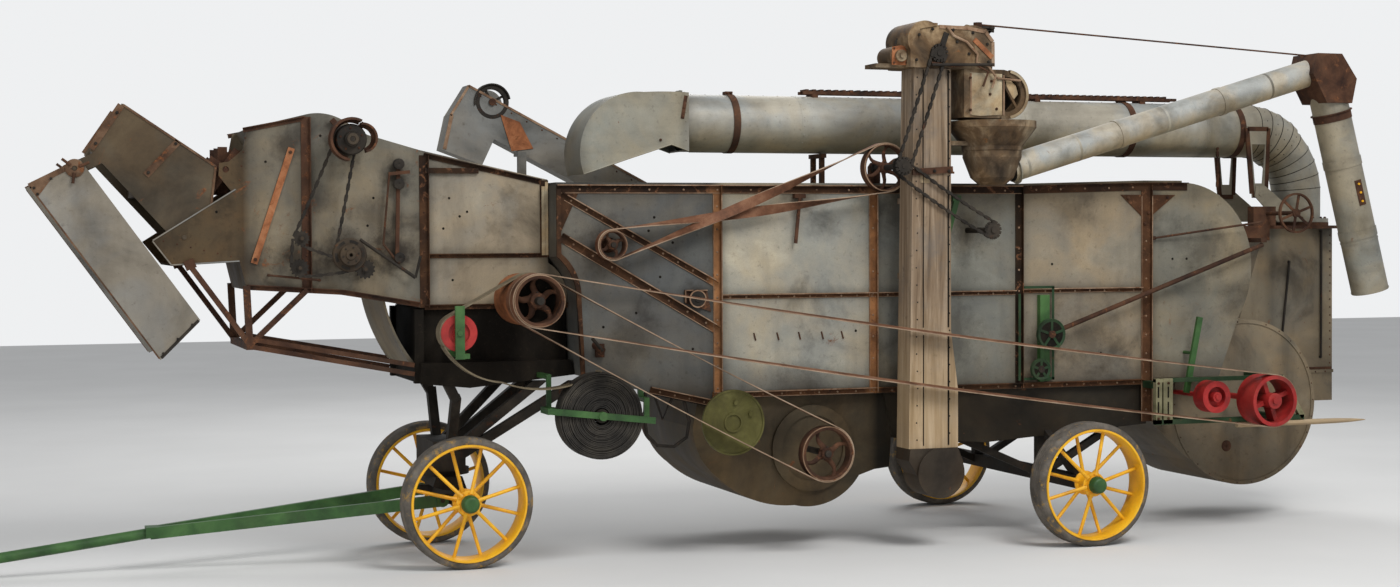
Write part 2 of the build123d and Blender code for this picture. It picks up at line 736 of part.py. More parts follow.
def outer_carrier():
    """Outer length of the bundle carrier, hanging from its hinge."""
    rows = [(-2694, 2496), (-2385, 2652), (-1670, 1646), (-1918, 1398)]
    pieces = [slab(rows, *span(side, outer_half - sheet, outer_half)) for side in (-1, 1)]
    for x, z in ((-2240, 2345), (-1980, 1980), (-1725, 1625)):
        pieces.append(box(x - 20, x + 20, -outer_half, outer_half, z - 20, z + 20))
    return joined(pieces) - drum(fold_x, fold_z, pin_radius + pin_play, -600, 600)


def outer_raddle():
    return raddle((-2300, 2380), (-1770, 1640), outer_half - sheet, 11, 22)


# Cleaning fan

fan_rows = [(1620, sill_z), (1583, 861), (1640, 650, 1766, 507), (2010, 350, 2327, 295), (2600, 310, 2815, 483)]
fan_rows += [(2930, 520), (3046, 532), (3060, 739), (2989, sill_z - 1), (1850, sill_z - 1)]


def cleaning_fan():
    """Scroll of the cleaning fan with a raised inlet ring on each side."""
    x = chaff_x + 64
    z = chaff_z - 3
    body = slab(fan_rows, -fan_half, fan_half) - body_shell() - shoe_housing()
    pieces = [body]
    for side in (-1, 1):
        low = side * fan_half
        high = side * (fan_half + 30)
        rows = [(0, low), (300, low), (300, high), (228, high), (228, high - side * 16), (0, high - side * 16)]
        pieces.append(turned(rows, x, z))
    return joined(pieces) - shoe_housing()


# Belts

def tangent(x0, z0, r0, x1, z1, r1, upper, crossed):
    """Straight run of a belt between two wheels, as the two points it touches."""
    dx = x1 - x0
    dz = z1 - z0
    side = 1.0 if upper else -1.0
    far = -r1 if crossed else r1
    lean = math.asin((r0 - far) / math.hypot(dx, dz))
    angle = math.atan2(dz, dx) + side * (math.pi / 2 - lean)
    start = (x0 + r0 * math.cos(angle), z0 + r0 * math.sin(angle))
    return start, (x1 + far * math.cos(angle), z1 + far * math.sin(angle))


def belt_run(pair, upper, crossed, low, high):
    """One straight run of a flat belt."""
    x0, z0, r0, x1, z1, r1 = pair
    offset = belt_thickness / 2 + belt_lift
    start, end = tangent(x0, z0, r0 + offset, x1, z1, r1 + offset, upper, crossed)
    return slab(strip(start[0], start[1], end[0], end[1], belt_thickness), low, high)


def belt_wrap(x, z, radius, low, high, keep):
    """Part of a belt that lies on a wheel: a ring cut to the side where keep is."""
    inner = radius + belt_lift
    outer = inner + belt_thickness
    return turned([(inner, low), (outer, low), (outer, high), (inner, high)], x, z) & keep


def turned_half(x, z, away_x, away_z, over):
    """Corners of the half plane round a wheel that lies away from the other wheel."""
    length = math.hypot(x - away_x, z - away_z)
    ux = (x - away_x) / length
    uz = (z - away_z) / length
    near = (x + ux * over, z + uz * over)
    far = (x + ux * 400, z + uz * 400)
    rows = [(near[0] - uz * 400, near[1] + ux * 400), (far[0] - uz * 400, far[1] + ux * 400)]
    return rows + [(far[0] + uz * 400, far[1] - ux * 400), (near[0] + uz * 400, near[1] - ux * 400)]


def open_belt(pair, low, high, over):
    """Flat belt round two wheels."""
    x0, z0, r0, x1, z1, r1 = pair
    pieces = [belt_run(pair, True, False, low, high), belt_run(pair, False, False, low, high)]
    first = slab(turned_half(x0, z0, x1, z1, over), low - 50, high + 50)
    last = slab(turned_half(x1, z1, x0, z0, over), low - 50, high + 50)
    pieces.append(belt_wrap(x0, z0, r0, low, high, first))
    pieces.append(belt_wrap(x1, z1, r1, low, high, last))
    return joined(pieces)


def long_belt():
    """Long belt from the main pulley to the straw fan."""
    return open_belt((main_x, main_z, main_radius, blower_x, blower_z, blower_radius), belt_low, belt_high, -20)


def fan_belt():
    """Belt from the main pulley to the cleaning fan."""
    pair = (main_x, main_z, main_radius, chaff_x, chaff_z, chaff_radius)
    return open_belt(pair, fan_belt_low, fan_belt_high, -26)


def cross_belt():
    """Crossed leather belt to the grain elevator shaft."""
    pair = (cross_x, cross_z, cross_radius, top_x, top_z, top_radius)
    low = cross_low
    high = cross_high
    pieces = [belt_run(pair, True, True, low, high), belt_run(pair, False, True, low, high)]
    left = box(cross_x - 200, cross_x + 4, low - 20, high + 20, cross_z - 200, cross_z + 200)
    right = box(top_x + 20, top_x + 300, low - 20, high + 20, top_z - 300, top_z + 300)
    pieces.append(belt_wrap(cross_x, cross_z, cross_radius, low, high, left))
    pieces.append(belt_wrap(top_x, top_z, top_radius, low, high, right))
    return joined(pieces)


def drive_belt():
    """Wide light belt over the main pulley, round the idler and back to the reel."""
    pair = (idler_x, idler_z, idler_radius, main_x, main_z, main_radius)
    pieces = [belt_run(pair, True, False, drive_low, drive_high)]
    rows = [(idler_x - 200, idler_z - 110), (idler_x - 200, idler_z + 250), (idler_x - 20, idler_z + 250)]
    rows += [(idler_x - 20, idler_z), (idler_x - 60, idler_z - 110)]
    left = slab(rows, drive_low - 90, drive_high + 90)
    pieces.append(belt_wrap(idler_x, idler_z, idler_radius, drive_low, drive_high, left))
    rows = [(main_x - 110, main_z), (main_x - 110, main_z + 300), (main_x + 160, main_z + 300)]
    rows.append((main_x + 60, main_z))
    top = slab(rows, drive_low - 90, drive_high + 90)
    pieces.append(belt_wrap(main_x, main_z, main_radius, drive_low, drive_high, top))
    top = reel_z + reel_radius
    outer = [(idler_x - 90, idler_z - 84), (-60, 1320, 180, 1232), (480, 1180, reel_x + 2, top + 8.4)]
    inner = [(reel_x + 2, top + 0.4), (480, 1171, 178, 1223), (-66, 1312, idler_x - 97, idler_z - 89)]
    pieces.append(slab(outer + inner, drive_low, drive_high))
    return joined(pieces) - drum(reel_x, reel_z, reel_radius + belt_lift, drive_low - 5, drive_high + 5)


# Pulleys and shafts

def main_pulley():
    """Two stepped drive pulleys on the cylinder shaft."""
    near = pulley(main_x, main_z, main_radius, out(477), out(285), 30, 5, 26)
    far = pulley(main_x, main_z, main_radius, out(265), -feeder_half - 140, 24, 5, 26)
    return joined([near, far, drum(main_x, main_z, shaft_radius + 4, out(495), -feeder_half)])


def chaff_pulley():
    """Cleaning fan pulley."""
    body = pulley(chaff_x, chaff_z, chaff_radius, out(377), out(295), 26, 4, 26)
    return joined([body, drum(chaff_x, chaff_z, shaft_radius + 4, out(390), -fan_half - 14)])


def cross_pulley():
    """Small wall pulley on its shaft."""
    body = pulley(cross_x, cross_z, cross_radius, out(155), out(75), 14, 4, 18)
    return joined([body, drum(cross_x, cross_z, shaft_radius, out(165), out(0))])


def top_pulley():
    """Spoked pulley of the grain elevator shaft with its sprockets and deck bearing."""
    pieces = [pulley(top_x, top_z, top_radius, out(155), out(75), 14, 6, 18)]
    pieces.append(drum(top_x, top_z, shaft_radius, out(457), 75 - body_half))
    pieces.append(box(top_x - 40, top_x + 40, 35 - body_half, 75 - body_half, deck_z + 20, top_z + 40))
    pieces.append(drum(top_x, top_z, 56, out(401), out(373)))
    pieces.append(drum(top_x, top_z, 50, out(451), out(429)))
    return joined(pieces) - body_deck()


def far_pulley():
    """Pulley on the far end of the cleaning fan shaft line."""
    body = pulley(1858, 778, 200, body_half + 125, body_half + 205, 18, 4, 24)
    return joined([body, drum(1858, 778, 22, fan_half, body_half + 215)])


def idler_pulley():
    """Red flanged idler on a green bar."""
    rows = [(shaft_radius, out(260)), (40, out(265)), (40, out(245)), (70, out(245)), (70, out(260))]
    rows += [(idler_radius, out(260)), (idler_radius, out(135)), (shaft_radius, out(135))]
    return turned(rows, idler_x, idler_z)


def blower_pulley():
    """Straw fan pulley with four arms."""
    body = pulley(blower_x, blower_z, blower_radius, out(477), out(265), 28, 4, 30)
    return joined([body, drum(blower_x, blower_z, shaft_radius + 4, out(490), -blow_half)])


def tightener_pulley():
    """Small red flanged pulley that tightens the long belt."""
    rows = [(0, out(395)), (shaft_radius, out(395)), (shaft_radius, out(385)), (36, out(385)), (36, out(325))]
    rows += [(74, out(325)), (74, out(375)), (116, out(375)), (116, out(245)), (shaft_radius, out(245))]
    rows += [(shaft_radius, -blow_half - blow_ring), (0, -blow_half - blow_ring)]
    return turned(rows, 5434, 984)


def olive_disc():
    """Dished disc in front of the fan inlet, with its hub recess and two bosses."""
    rows = [(0, out(281)), (52, out(281)), (52, out(291)), (66, out(291)), (66, out(283)), (208, out(283))]
    rows += [(208, out(290)), (220, out(290)), (220, out(267)), (22, out(267)), (22, -fan_half), (0, -fan_half)]
    pieces = [turned(rows, 1745, 919)]
    pieces += [drum(x, z, 16, out(298), out(283)) for x, z in ((1762, 1052), (1868, 972))]
    return joined(pieces)


def idler_bar():
    """Green upright and shaft that carry the idler."""
    face = 41 - feeder_half
    left = idler_x + 20
    pieces = [box(idler_x - 30, idler_x + 30, out(290), out(268), idler_z - 166, idler_z + 174)]
    pieces.append(drum(idler_x, idler_z, shaft_radius - 0.3, out(300), face - 2))
    pieces.append(box(left, left + 42, out(290), face - 1, idler_z - 163, idler_z - 131))
    pieces.append(box(left, left + 42, face - 41, face - 1, idler_z - 163, idler_z + 89))
    pieces.append(box(idler_x, left + 42, out(290), out(268), idler_z - 163, idler_z - 131))
    return joined(pieces)


def belt_roll():
    """Coiled spare drive belt on its reel."""
    near = out(265)
    low = near + 5
    rows = [(30, near), (96, near), (96, low), (106, low), (106, near), (196, near), (196, low), (206, low)]
    rows += [(206, near), (reel_radius, near), (reel_radius, out(125)), (30, out(125))]
    return turned(rows, reel_x, reel_z)


def reel_bars():
    """Green bars, axle and hangers of the reel."""
    pieces = [drum(reel_x, reel_z, 29.7, out(300), out(90))]
    for y0, y1 in ((out(290), out(270)), (out(120), out(100))):
        line = strip(reel_x - 360, reel_z + 44, reel_x + 360, reel_z - 40, 42)
        pieces.append(slab(line, y0, y1))
    pieces.append(box(reel_x - 372, reel_x - 330, out(290), out(100), reel_z + 22, reel_z + 62))
    back = (out(120), out(100))
    wall = 35 - body_half
    pieces.append(box(reel_x + 335, reel_x + 371, *back, reel_z - 60, reel_z + 100))
    pieces.append(box(reel_x + 335, reel_x + 371, back[0], wall, reel_z + 70, reel_z + 100))
    pieces.append(box(reel_x + 335, reel_x + 371, wall - 30, wall, reel_z + 70, 1200))
    pieces.append(box(reel_x - 335, reel_x - 303, *back, reel_z + 20, reel_z + 272))
    pieces.append(box(reel_x - 335, reel_x - 303, back[0], wall + 100, reel_z + 240, reel_z + 272))
    sill = [(770, 1240), (1254, 1117), (1668, sill_z - 40), (1668, 1500), (770, 1500)]
    return joined(pieces) - slab(sill, -700, 700)


def drive_chains():
    """Chains and sprockets of the grain elevator drive."""
    pieces = [toothed(3624, 2195, 58, 12, out(401), out(373)), drum(3624, 2195, 20, out(410), out(0))]
    pieces.append(toothed(3190, head_z + 100, 53, 11, out(451), out(429)))
    pieces.append(drum(3190, head_z + 100, 20, out(455), out(425)))
    # Columns: radius at the top pulley, X, Z and radius of the other sprocket, middle plane
    rows = [(56, 3624, 2195, 55, 387), (50, 3190, head_z + 100, 50, 440)]
    for r0, x1, z1, r1, plane in rows:
        for upper in (True, False):
            start, end = tangent(top_x, top_z, r0, x1, z1, r1, upper, False)
            pieces.append(link_chain(*start, *end, out(plane + 8), out(plane - 8)))
    cut = drum(top_x, top_z, 56.5, out(405), out(365)) + drum(top_x, top_z, 50.5, out(455), out(425))
    return joined(pieces) - cut


# Frames, levers and rods

def behind_frames():
    """Housings that the rear frames stand against."""
    fan = [slab(scroll_rows, -blow_half, blow_half), drum(blow_x, blow_z, blow_radius, -blow_half, blow_half)]
    return joined(fan + [shoe_housing(), body_shell()])


def platform_frame():
    """Green rear frame that carries the tightener, its lever and a pointed wooden pole."""
    y0 = out(245)
    y1 = out(205)
    pieces = [box(5010, 6090, y0, y1, 1090, 1120), box(5010, 6275, y0, y1, 785, 820)]
    bracket = box(5010, 5140, y0, y1, 790, 1110)
    for x, low in ((5030, 850), (5030, 975), (5112, 850), (5112, 975)):
        bracket -= box(x - 6, x + 6, y0 - 1, y1 + 1, low, low + 85)
    bracket -= box(5062, 5078, y0 - 1, y1 + 1, 822, 1085)
    pieces += [bracket, slab(strip(6080, 1105, 6270, 800, 40), y0, y1)]
    pieces.append(box(5045, 5105, y0, out(angle_wall + 0.2), 1040, 1090))
    pieces.append(box(6040, 6090, y0, -blow_half, 1090, 1115))
    pieces += [box(x, x + 60, y1, -blow_half, 790, 815) for x in (5300, 6120)]
    return joined(pieces) - behind_frames()


def pole():
    """Pointed wooden pole lying against the rear frame."""
    rows = [(5700, 742), (6550, 742), (6830, 762), (6830, 770), (6550, 784.8), (5700, 784.8)]
    return slab(rows, out(255), out(205))


def rear_lever():
    """Green hand lever beside the straw fan."""
    pieces = [bar((5452, out(125), 1553), (5340, out(125), 1000), 44, 22)]
    pieces.append(box(5340, 5382, out(204.8), out(114), 1090, 1118))
    return joined(pieces + [drum(5400, 1290, 12, out(125), out(0))])


def rod_post():
    """Green post on the wall below the rod bearing."""
    return box(4180, 4210, out(45), out(0), 1110, 1730) + box(4210, 4270, out(20), out(0), 1110, 1730)


def leg_brace():
    """Green brace from the wall to the elevator leg."""
    brace = bar((3520, out(47), 2430), (3360, out(47), 1900), 40, 26)
    return brace + box(3480, 3545, out(60), out(0), 2400, 2440)


def drive_rods():
    """Long rod along the rear wall with its disc and guide pulley."""
    pieces = [rod((4219, out(110), 1452), (6030, out(65), 2080), 17)]
    pieces += [drum(4219, 1452, 110, out(140), out(115)), drum(4219, 1452, 26, out(155), out(20))]
    pieces += [drum(4160, 1200, 76, out(95), out(75)), drum(4160, 1200, 20, out(100), out(45))]
    return joined(pieces) - rod_post()


def hand_wheel():
    """Spoked hand wheel on the gear box shaft."""
    body = pulley(6325, turn_z + 66, 150, out(77), out(55), 14, 6, 17)
    return body - drum(6325, turn_z + 66, 16.2, -900, -500)


# Grain elevator, weigher, hopper and loader

def elevator_leg():
    """Wooden double leg with its wall battens."""
    rows = [(leg_front, head_z), (leg_rear, head_z), (leg_rear - 2, 1510), (leg_rear + 51, 1100)]
    rows += [(leg_rear + 51, leg_foot_z), (leg_front - 42, leg_foot_z)]
    pieces = [slab(rows, leg_near, leg_far)]
    pieces += [box(leg_front + 44, leg_rear - 45, leg_far, out(0), z - 20, z + 20) for z in (1220, 1880, 2400)]
    return joined(pieces)


def elevator_boot():
    """Steel boot drum and collar at the foot of the leg."""
    top = leg_foot_z - 0.1
    x = leg_front + 190
    body = drum(x, top - 170, 175, leg_near - 30, leg_far + 20)
    rows = [(leg_front - 36, top), (leg_rear + 45, top), (leg_rear + 85, top - 100), (leg_rear + 81, top - 180)]
    rows += [(leg_front + 14, top - 180), (leg_front - 46, top - 80)]
    body -= box(x - 326, x + 274, leg_near - 100, leg_far + 100, top, top + 100)
    return joined([body, slab(rows, leg_near - 12, leg_far + 8)])


def elevator_head():
    """Rounded head over the leg with its end flange, cover strap and tail bearing."""
    low = head_z + 0.2
    left = leg_front - 46
    right = hopper_x - 80
    rows = [(left, low), (right, low), (right, low + 200), (right - 60, low + 270, right - 200, low + 290)]
    rows += [(left + 160, low + 290), (left + 10, low + 260, left, low + 120)]
    pieces = [slab(rows, leg_near - 60, leg_far + 80)]
    hoop = [(left - 14, low + 2), (left - 14, low + 120), (left - 2, low + 270, left + 158, low + 303)]
    hoop += [(left + 190, low + 303), (left + 190, low + 285), (left + 60, low + 262), (left + 20, low + 110)]
    hoop.append((left + 20, low + 2))
    pieces.append(slab(hoop, leg_near - 72, leg_far + 92))
    strap = [(right - 220, low + 280), (right - 190, low + 302), (right - 40, low + 275)]
    strap += [(right + 12, low + 196), (right + 12, low + 60), (right - 10, low + 60), (right - 70, low + 240)]
    pieces += [slab(strap, y - 9, y + 9) for y in (leg_near - 40, leg_far + 60)]
    pieces += [drum(left - 60, low + 80, 70, leg_near, leg_far + 20)]
    for radius, reach in ((40, 34), (16, 50)):
        pieces.append(drum(left - 60, low + 80, radius, leg_near - reach, leg_near))
    pieces += [box(left - 230, left + 10, leg_near + 20, leg_far, low, low + 28)]
    return joined(pieces)


def weigher_bucket():
    """Weigher drum with its rim, open mouth and cross bar, under the head."""
    low = leg_near - 40
    high = leg_far + 70
    x = hopper_x
    foot = weigher_low
    middle = foot + weigher_height / 2
    rows = [(x - 285, foot + 8), (x - 120, foot + 2), (x + 60, foot + 6), (x + 195, middle, x + 60, head_z - 10)]
    rows += [(x + 20, head_z), (x - 285, head_z)]
    mouth = [(x + 6, foot + 48), (x + 60, foot + 48), (x + 150, middle, x + 60, head_z - 50), (x + 6, head_z - 50)]
    rim = [(x - 6, foot), (x + 62, foot), (x + 206, middle, x + 62, head_z - 2), (x + 62, head_z - 22)]
    rim += [(x + 182, middle, x + 62, foot + 20), (x - 6, foot + 20)]
    body = slab(rows, low, high) - slab(mouth, low - 1, low + 90)
    spoke = slab(strip(x + 4, head_z - 70, x + 120, foot + 78, 16), low, low + 16)
    return joined([body, slab(rim, low - 12, low + 18), slab(rim, high - 18, high + 12), spoke])


def hopper_rows(radius):
    """Inner outline of the funnel, from its neck to its rim."""
    neck = hopper_neck_radius - 8
    return [(neck, hopper_neck_z + 9), (radius - 10, hopper_neck_z + hopper_height - 42)]


def grain_hopper():
    """Round funnel under the weigher, carried by a bracket on the leg."""
    neck = hopper_neck_radius
    low = hopper_neck_z
    rim = hopper_radius
    top = low + hopper_height
    rows = [(rim - 10, top), (rim, top), (rim, top - 45), (neck, low), (neck - 8, low)]
    body = ring_of(rows + hopper_rows(rim), hopper_x, hopper_y)
    mouth = [(0, low - 76), (neck - 8, low - 76)] + hopper_rows(rim) + [(rim - 10, top + 40), (0, top + 40)]
    hollow = ring_of(mouth, hopper_x, hopper_y)
    bracket = box(leg_rear, hopper_x - neck + 11, hopper_y - 60, hopper_y + 60, low + 4, low + 34)
    return joined([body, bracket - hollow])


def loader_bowl():
    """Turning cup under the hopper."""
    top = hopper_neck_z - 0.3
    neck = hopper_neck_radius
    rows = [(neck - 15, top), (neck, top), (neck, top - 26), (neck - 7, top - 34), (neck - 7, top - 76)]
    rows += [(150, top - 216), (90, top - 267), (0, top - 273), (0, top - 267), (86, top - 261), (144, top - 214)]
    return ring_of(rows + [(neck - 15, top - 74)], hopper_x, hopper_y) - rod(tube_start, tube_end, tube_radius)


def loader_tube():
    """Sloping spout from the turning cup, with lap joints."""
    pieces = [tube(tube_start, tube_end, tube_radius, tube_wall)]
    start = Vector(*tube_start)
    along = Vector(*tube_end) - start
    for share in (0.33, 0.66):
        low = start + along * share
        high = start + along * (share + 0.015)
        pieces.append(tube(tuple(low), tuple(high), tube_radius + 5, tube_wall + 3))
    return joined(pieces)


# Top of the fall pipe and the way it leans
drop_top = (tube_end[0] + 61, hopper_y, tube_end[2] - 100)
drop_lean = 14.9
drop_way = (math.sin(math.radians(drop_lean)), -math.cos(math.radians(drop_lean)))


def drop_point(distance):
    """Point on the middle line of the fall pipe."""
    return (drop_top[0] + drop_way[0] * distance, hopper_y, drop_top[2] + drop_way[1] * distance)


def drop_pipe():
    """Fall pipe at the end of the loader, in three lapped lengths."""
    pieces = [tube(drop_point(0), drop_point(drop_length), drop_radius, tube_wall)]
    for distance in (0.36 * drop_length, 0.7 * drop_length):
        pieces.append(tube(drop_point(distance), drop_point(distance + 60), drop_radius + 5, tube_wall + 3))
    return joined(pieces)


def loader_head():
    """Rusty box that joins the loader to its fall pipe."""
    x = tube_end[0]
    z = tube_end[2]
    rows = [(x - 149, z - 40), (x - 109, z + 110), (x + 101, z + 110), (x + 231, z - 70), (x + 191, z - 250)]
    body = slab(rows + [(x - 29, z - 250)], hopper_y - 150, hopper_y + 150)
    body -= rod(tube_start, tube_end, tube_radius)
    body -= rod(drop_point(-110), drop_point(drop_length), drop_radius)
    rows = [(x - 29, z - 170), (x - 39, z + 50), (x + 81, z + 50), (x + 151, z - 70)]
    return body - slab(rows, hopper_y - 90, hopper_y + 90)


def stay_wire():
    """Taut stay from the elevator head to the loader's outer end."""
    low = head_z + 290.2
    mast = Pos(hopper_x - 110, hopper_y, low + 22) * Cylinder(30, 44)
    end = (tube_end[0] - 110.5, hopper_y, tube_end[2] + 104)
    return joined([mast, rod((hopper_x - 100, hopper_y, low + 30), end, 6)])


# Straw fan and turntable

scroll_rows = [(5200, sill_z + 45.9), (5200, 790), (5480, 540), (5760, 330), (blow_x, blow_z), (blow_x, 1300)]
scroll_rows += [(5850, 1300), (5700, sill_z + 45.9)]


def straw_fan():
    """Drum and throat of the straw fan, with a flange ring on each side."""
    pieces = [drum(blow_x, blow_z, blow_radius, -blow_half, blow_half), slab(scroll_rows, -blow_half, blow_half)]
    for side in (-1, 1):
        low = side * (blow_half - 5)
        high = side * (blow_half + blow_ring)
        rows = [(blow_radius - 28, low), (blow_radius, low), (blow_radius, high), (blow_radius - 28, high)]
        pieces.append(turned(rows, blow_x, blow_z))
    return joined(pieces) - body_shell() - shoe_housing()


def straw_trunk():
    """Trunk from the fan up to the turntable, with its seam ledge."""
    rows = [(5990, 1505), (6140, 1515), (6340, trunk_top_z - 70), (6340, trunk_top_z), (6980, trunk_top_z)]
    rows += [(6985, 860), (6640, 860), (6500, 1300)]
    body = slab(rows, -trunk_half, trunk_half) - body_shell()
    ledge = slab([(6400, 1078), (6990, 1078), (6990, 1102), (6400, 1102)], -trunk_half - 10, trunk_half + 10)
    return joined([body, ledge]) - drum(blow_x, blow_z, blow_radius, -460, 460)


def stacker_base():
    """Fixed turntable ring, its plate and the gear box of the hand wheel."""
    top = trunk_top_z + 24
    pieces = [box(6320, 6980, -320, 320, trunk_top_z, top)]
    pieces.append(Pos(swing_x, 0, turn_z - 13) * Cylinder(pipe_radius + 47, 26))
    pieces.append(box(6200, 6400, -340, -262, top, turn_z + 120))
    pieces.append(box(6010, 6345, -340, -262, trunk_top_z - 90, top))
    pieces += [box(6005, 6055, out(85), -262, trunk_top_z - 102.5, trunk_top_z - 70)]
    pieces.append(drum(6325, turn_z + 66, 16, out(80), -340))
    return joined(pieces)


# Straw pipe

def bend_point(angle, reach):
    """Point round the middle of the bend, at an angle up from its vertical leg."""
    turn = math.radians(angle)
    return (bend_x + reach * math.cos(turn), 0, bend_z + reach * math.sin(turn))


def bend_corners(from_angle, to_angle):
    """Corners of the mitred bend between two angles."""
    reach = bend_radius / math.cos(math.radians(bend_step / 2))
    count = round((to_angle - from_angle) / bend_step)
    return [bend_point(from_angle + (step + 0.5) * bend_step, reach) for step in range(count)]


def mitred_tube(points, radius):
    """Sheet metal tube of straight lengths that meet at mitres."""
    start = Vector(*points[0])
    along = Vector(*points[1]) - start
    section = Plane(origin=start, z_dir=along) * (Circle(radius) - Circle(radius - pipe_wall))
    return sweep(section, path=Polyline(*points), transition=Transition.RIGHT)


def stacker_elbow():
    """Turning elbow of the straw pipe on its ring, with the yoke that hinges the pipe."""
    radius = pipe_radius - pipe_wall - slide_gap
    low = turn_z + 0.3
    end = bend_split + bend_step
    points = [(swing_x, 0, low + 15)] + bend_corners(0, end) + [bend_point(end, bend_radius)]
    rows = [(radius - pipe_wall, low), (pipe_radius + 45, low), (pipe_radius + 45, low + 30)]
    rows.append((radius - pipe_wall, low + 30))
    pieces = [mitred_tube(points, radius), ring_of(rows, swing_x, 0)]
    cheek = [(bend_x - 50, bend_z - 20), (bend_x - 40, bend_z + 60), (bend_x + 40, bend_z + 60)]
    cheek += [(swing_x - 120, low + 35), (swing_x + 10, low + 30), (swing_x + 10, low + 6)]
    cheek.append((swing_x - 340, low + 6))
    pieces += [slab(cheek, *span(side, pipe_radius + 29, pipe_radius + 41)) for side in (-1, 1)]
    return joined(pieces) - drum(bend_x, bend_z, shaft_radius + pin_play, -600, 600)


def upper_bend():
    """Upper half of the bend, which slides over the turning elbow."""
    ends = [bend_point(angle, bend_radius) for angle in (bend_split, 90)]
    return mitred_tube([ends[0]] + bend_corners(bend_split, 90) + [ends[1]], pipe_radius)


def straw_pipe():
    """Level straw pipe with its straps, hood knuckle and the window cheeks of its hinge."""
    low = (pipe_end, 0, pipe_height)
    pieces = [tube(low, (bend_x, 0, pipe_height), pipe_radius, pipe_wall)]
    for x in (2050, 5245, bend_x - 130):
        pieces.append(tube((x - 23, 0, pipe_height), (x + 23, 0, pipe_height), pipe_radius + 5, pipe_wall + 3))
    window = [(bend_x - 70, pipe_height - 110), (bend_x - 40, bend_z + 80), (bend_x + 30, bend_z + 80)]
    window.append((bend_x + 55, pipe_height - 110))
    cheek = [(bend_x - 110, pipe_height + 20), (bend_x - 60, bend_z - 30), (bend_x + 60, bend_z - 30)]
    cheek.append((bend_x + 90, pipe_height + 20))
    for side in (-1, 1):
        layer = span(side, pipe_radius + 9, pipe_radius + 23)
        pieces.append(slab(cheek, *layer) - slab(window, layer[0] - 1, layer[1] + 1))
        pieces.append(drum(bend_x, bend_z, shaft_radius, *span(side, pipe_radius + 9, pipe_radius + 47)))
        reach = span(side, pipe_radius - 13, pipe_radius + 23)
        block = box(bend_x - 110, bend_x, *reach, pipe_height - 30, pipe_height + 30)
        pieces.append(block - rod(low, (bend_x, 0, pipe_height), pipe_radius - 2))
    pieces.append(hood_knuckle() - rod(low, (bend_x, 0, pipe_height), pipe_radius - 2))
    return joined(pieces)


# Hinge line of the hood on top of the pipe's end
hood_z = pipe_height + pipe_radius + 16.0


def hood_knuckle():
    """Lug on the pipe's end that holds the hood's pin."""
    body = box(pipe_end, pipe_end + 34, -20, 20, pipe_height + pipe_radius - 8, hood_z)
    body += drum(pipe_end, hood_z, 11, -20, 20)
    return body - drum(pipe_end, hood_z, hinge_radius + pin_play, -30, 30)


def straw_hood():
    """Curved hood hinged on the pipe's end, open below."""
    e = pipe_end - 0.5
    h = pipe_height
    r = pipe_radius
    rows = [(e, h + r), (e - 190, h + r + 3, e - 330, h + r - 3), (e - 600, h + r - 73, e - 763, h - r - 167)]
    rows += [(e - 440, h - r - 57, e - 130, h - r + 43), (e, h - r)]
    inner = [(e - 6, h + r - 7), (e - 190, h + r - 4, e - 328, h + r - 10)]
    inner.append((e - 592, h + r - 83, e - 755, h - r - 165))
    inner += [(e - 810, h - r - 197), (e - 130, h - r - 57), (e - 90, h - r + 7), (e - 6, h - r + 7)]
    body = slab(rows, -r, r) - slab(inner, pipe_wall - r, r - pipe_wall)
    body -= rod((e - 20, 0, h), (e + 20, 0, h), r - pipe_wall)
    pieces = [body]
    for side in (-1, 1):
        ear = [(e - 70, h + r - 2), (e - 12, h + r - 2), (e + 10, hood_z - 6), (e + 10, hood_z + 9)]
        ear.append((e - 10, hood_z + 11))
        pieces.append(slab(ear, *span(side, 20.5, 32)))
    pieces.append(drum(pipe_end, hood_z, hinge_radius, -34, 34))
    return joined(pieces)


def pipe_rack():
    """Toothed double bar on feet along the top of the straw pipe."""
    low = pipe_height + pipe_radius + 15
    pieces = [box(2610, 5700, y - 9, y + 9, low, low + 22) for y in (-45, 45)]
    pieces += [box(x - 12, x + 12, -54, 54, low + 22, low + 36) for x in range(2640, 5640, 58)]
    pieces += [box(x - 22, x + 22, -60, 60, low - 28, low + 2) for x in (2700, 3600, 4500, 5400)]
    return joined(pieces) - rod((2500, 0, pipe_height), (5800, 0, pipe_height), pipe_radius)


def pipe_prop():
    """Low saddle on the deck under the straw pipe."""
    top = pipe_height - pipe_radius - 7
    pieces = [box(2720, 2760, -120, 120, top - 30, top)]
    pieces += [box(2725, 2755, y - 20, y + 20, deck_z + 15, top - 20) for y in (-80, 80)]
    return joined(pieces) - body_deck() - body_shell()


# Far side return elevator

def tailings_elevator():
    """Sloping return elevator on the far wall, with its spout, post and head pulley."""
    near = body_half + 40
    far = near + 200
    pieces = [slab([(330, 3250), (1700, 2540), (4700, 990), (4590, 780), (190, 3030)], near, far)]
    pieces.append(slab([(190, 3035), (134, 2786), (425, 2681), (520, 2880)], near, far))
    pieces.append(box(660, 720, shoe_half - 40, shoe_half, deck_z + 18, 2760))
    pieces.append(box(660, 720, shoe_half - 40, near + 20, 2740, 2770))
    pieces += [box(2200, 2400, body_half, near, 2040, 2120), box(3350, 3450, body_half, near, 1480, 1550)]
    pieces += [box(4450, 4550, shoe_half, near, 850, 950)]
    pieces += [drum(516, 3120, 110, far + 15, far + 65), drum(516, 3120, 22, far, far + 75)]
    return joined(pieces) - body_deck()


# Nodes, each with the sub-parts fused in it

def write_nodes(rows):
    for name, makers in rows:
        put(name, joined([make() for make in makers]))


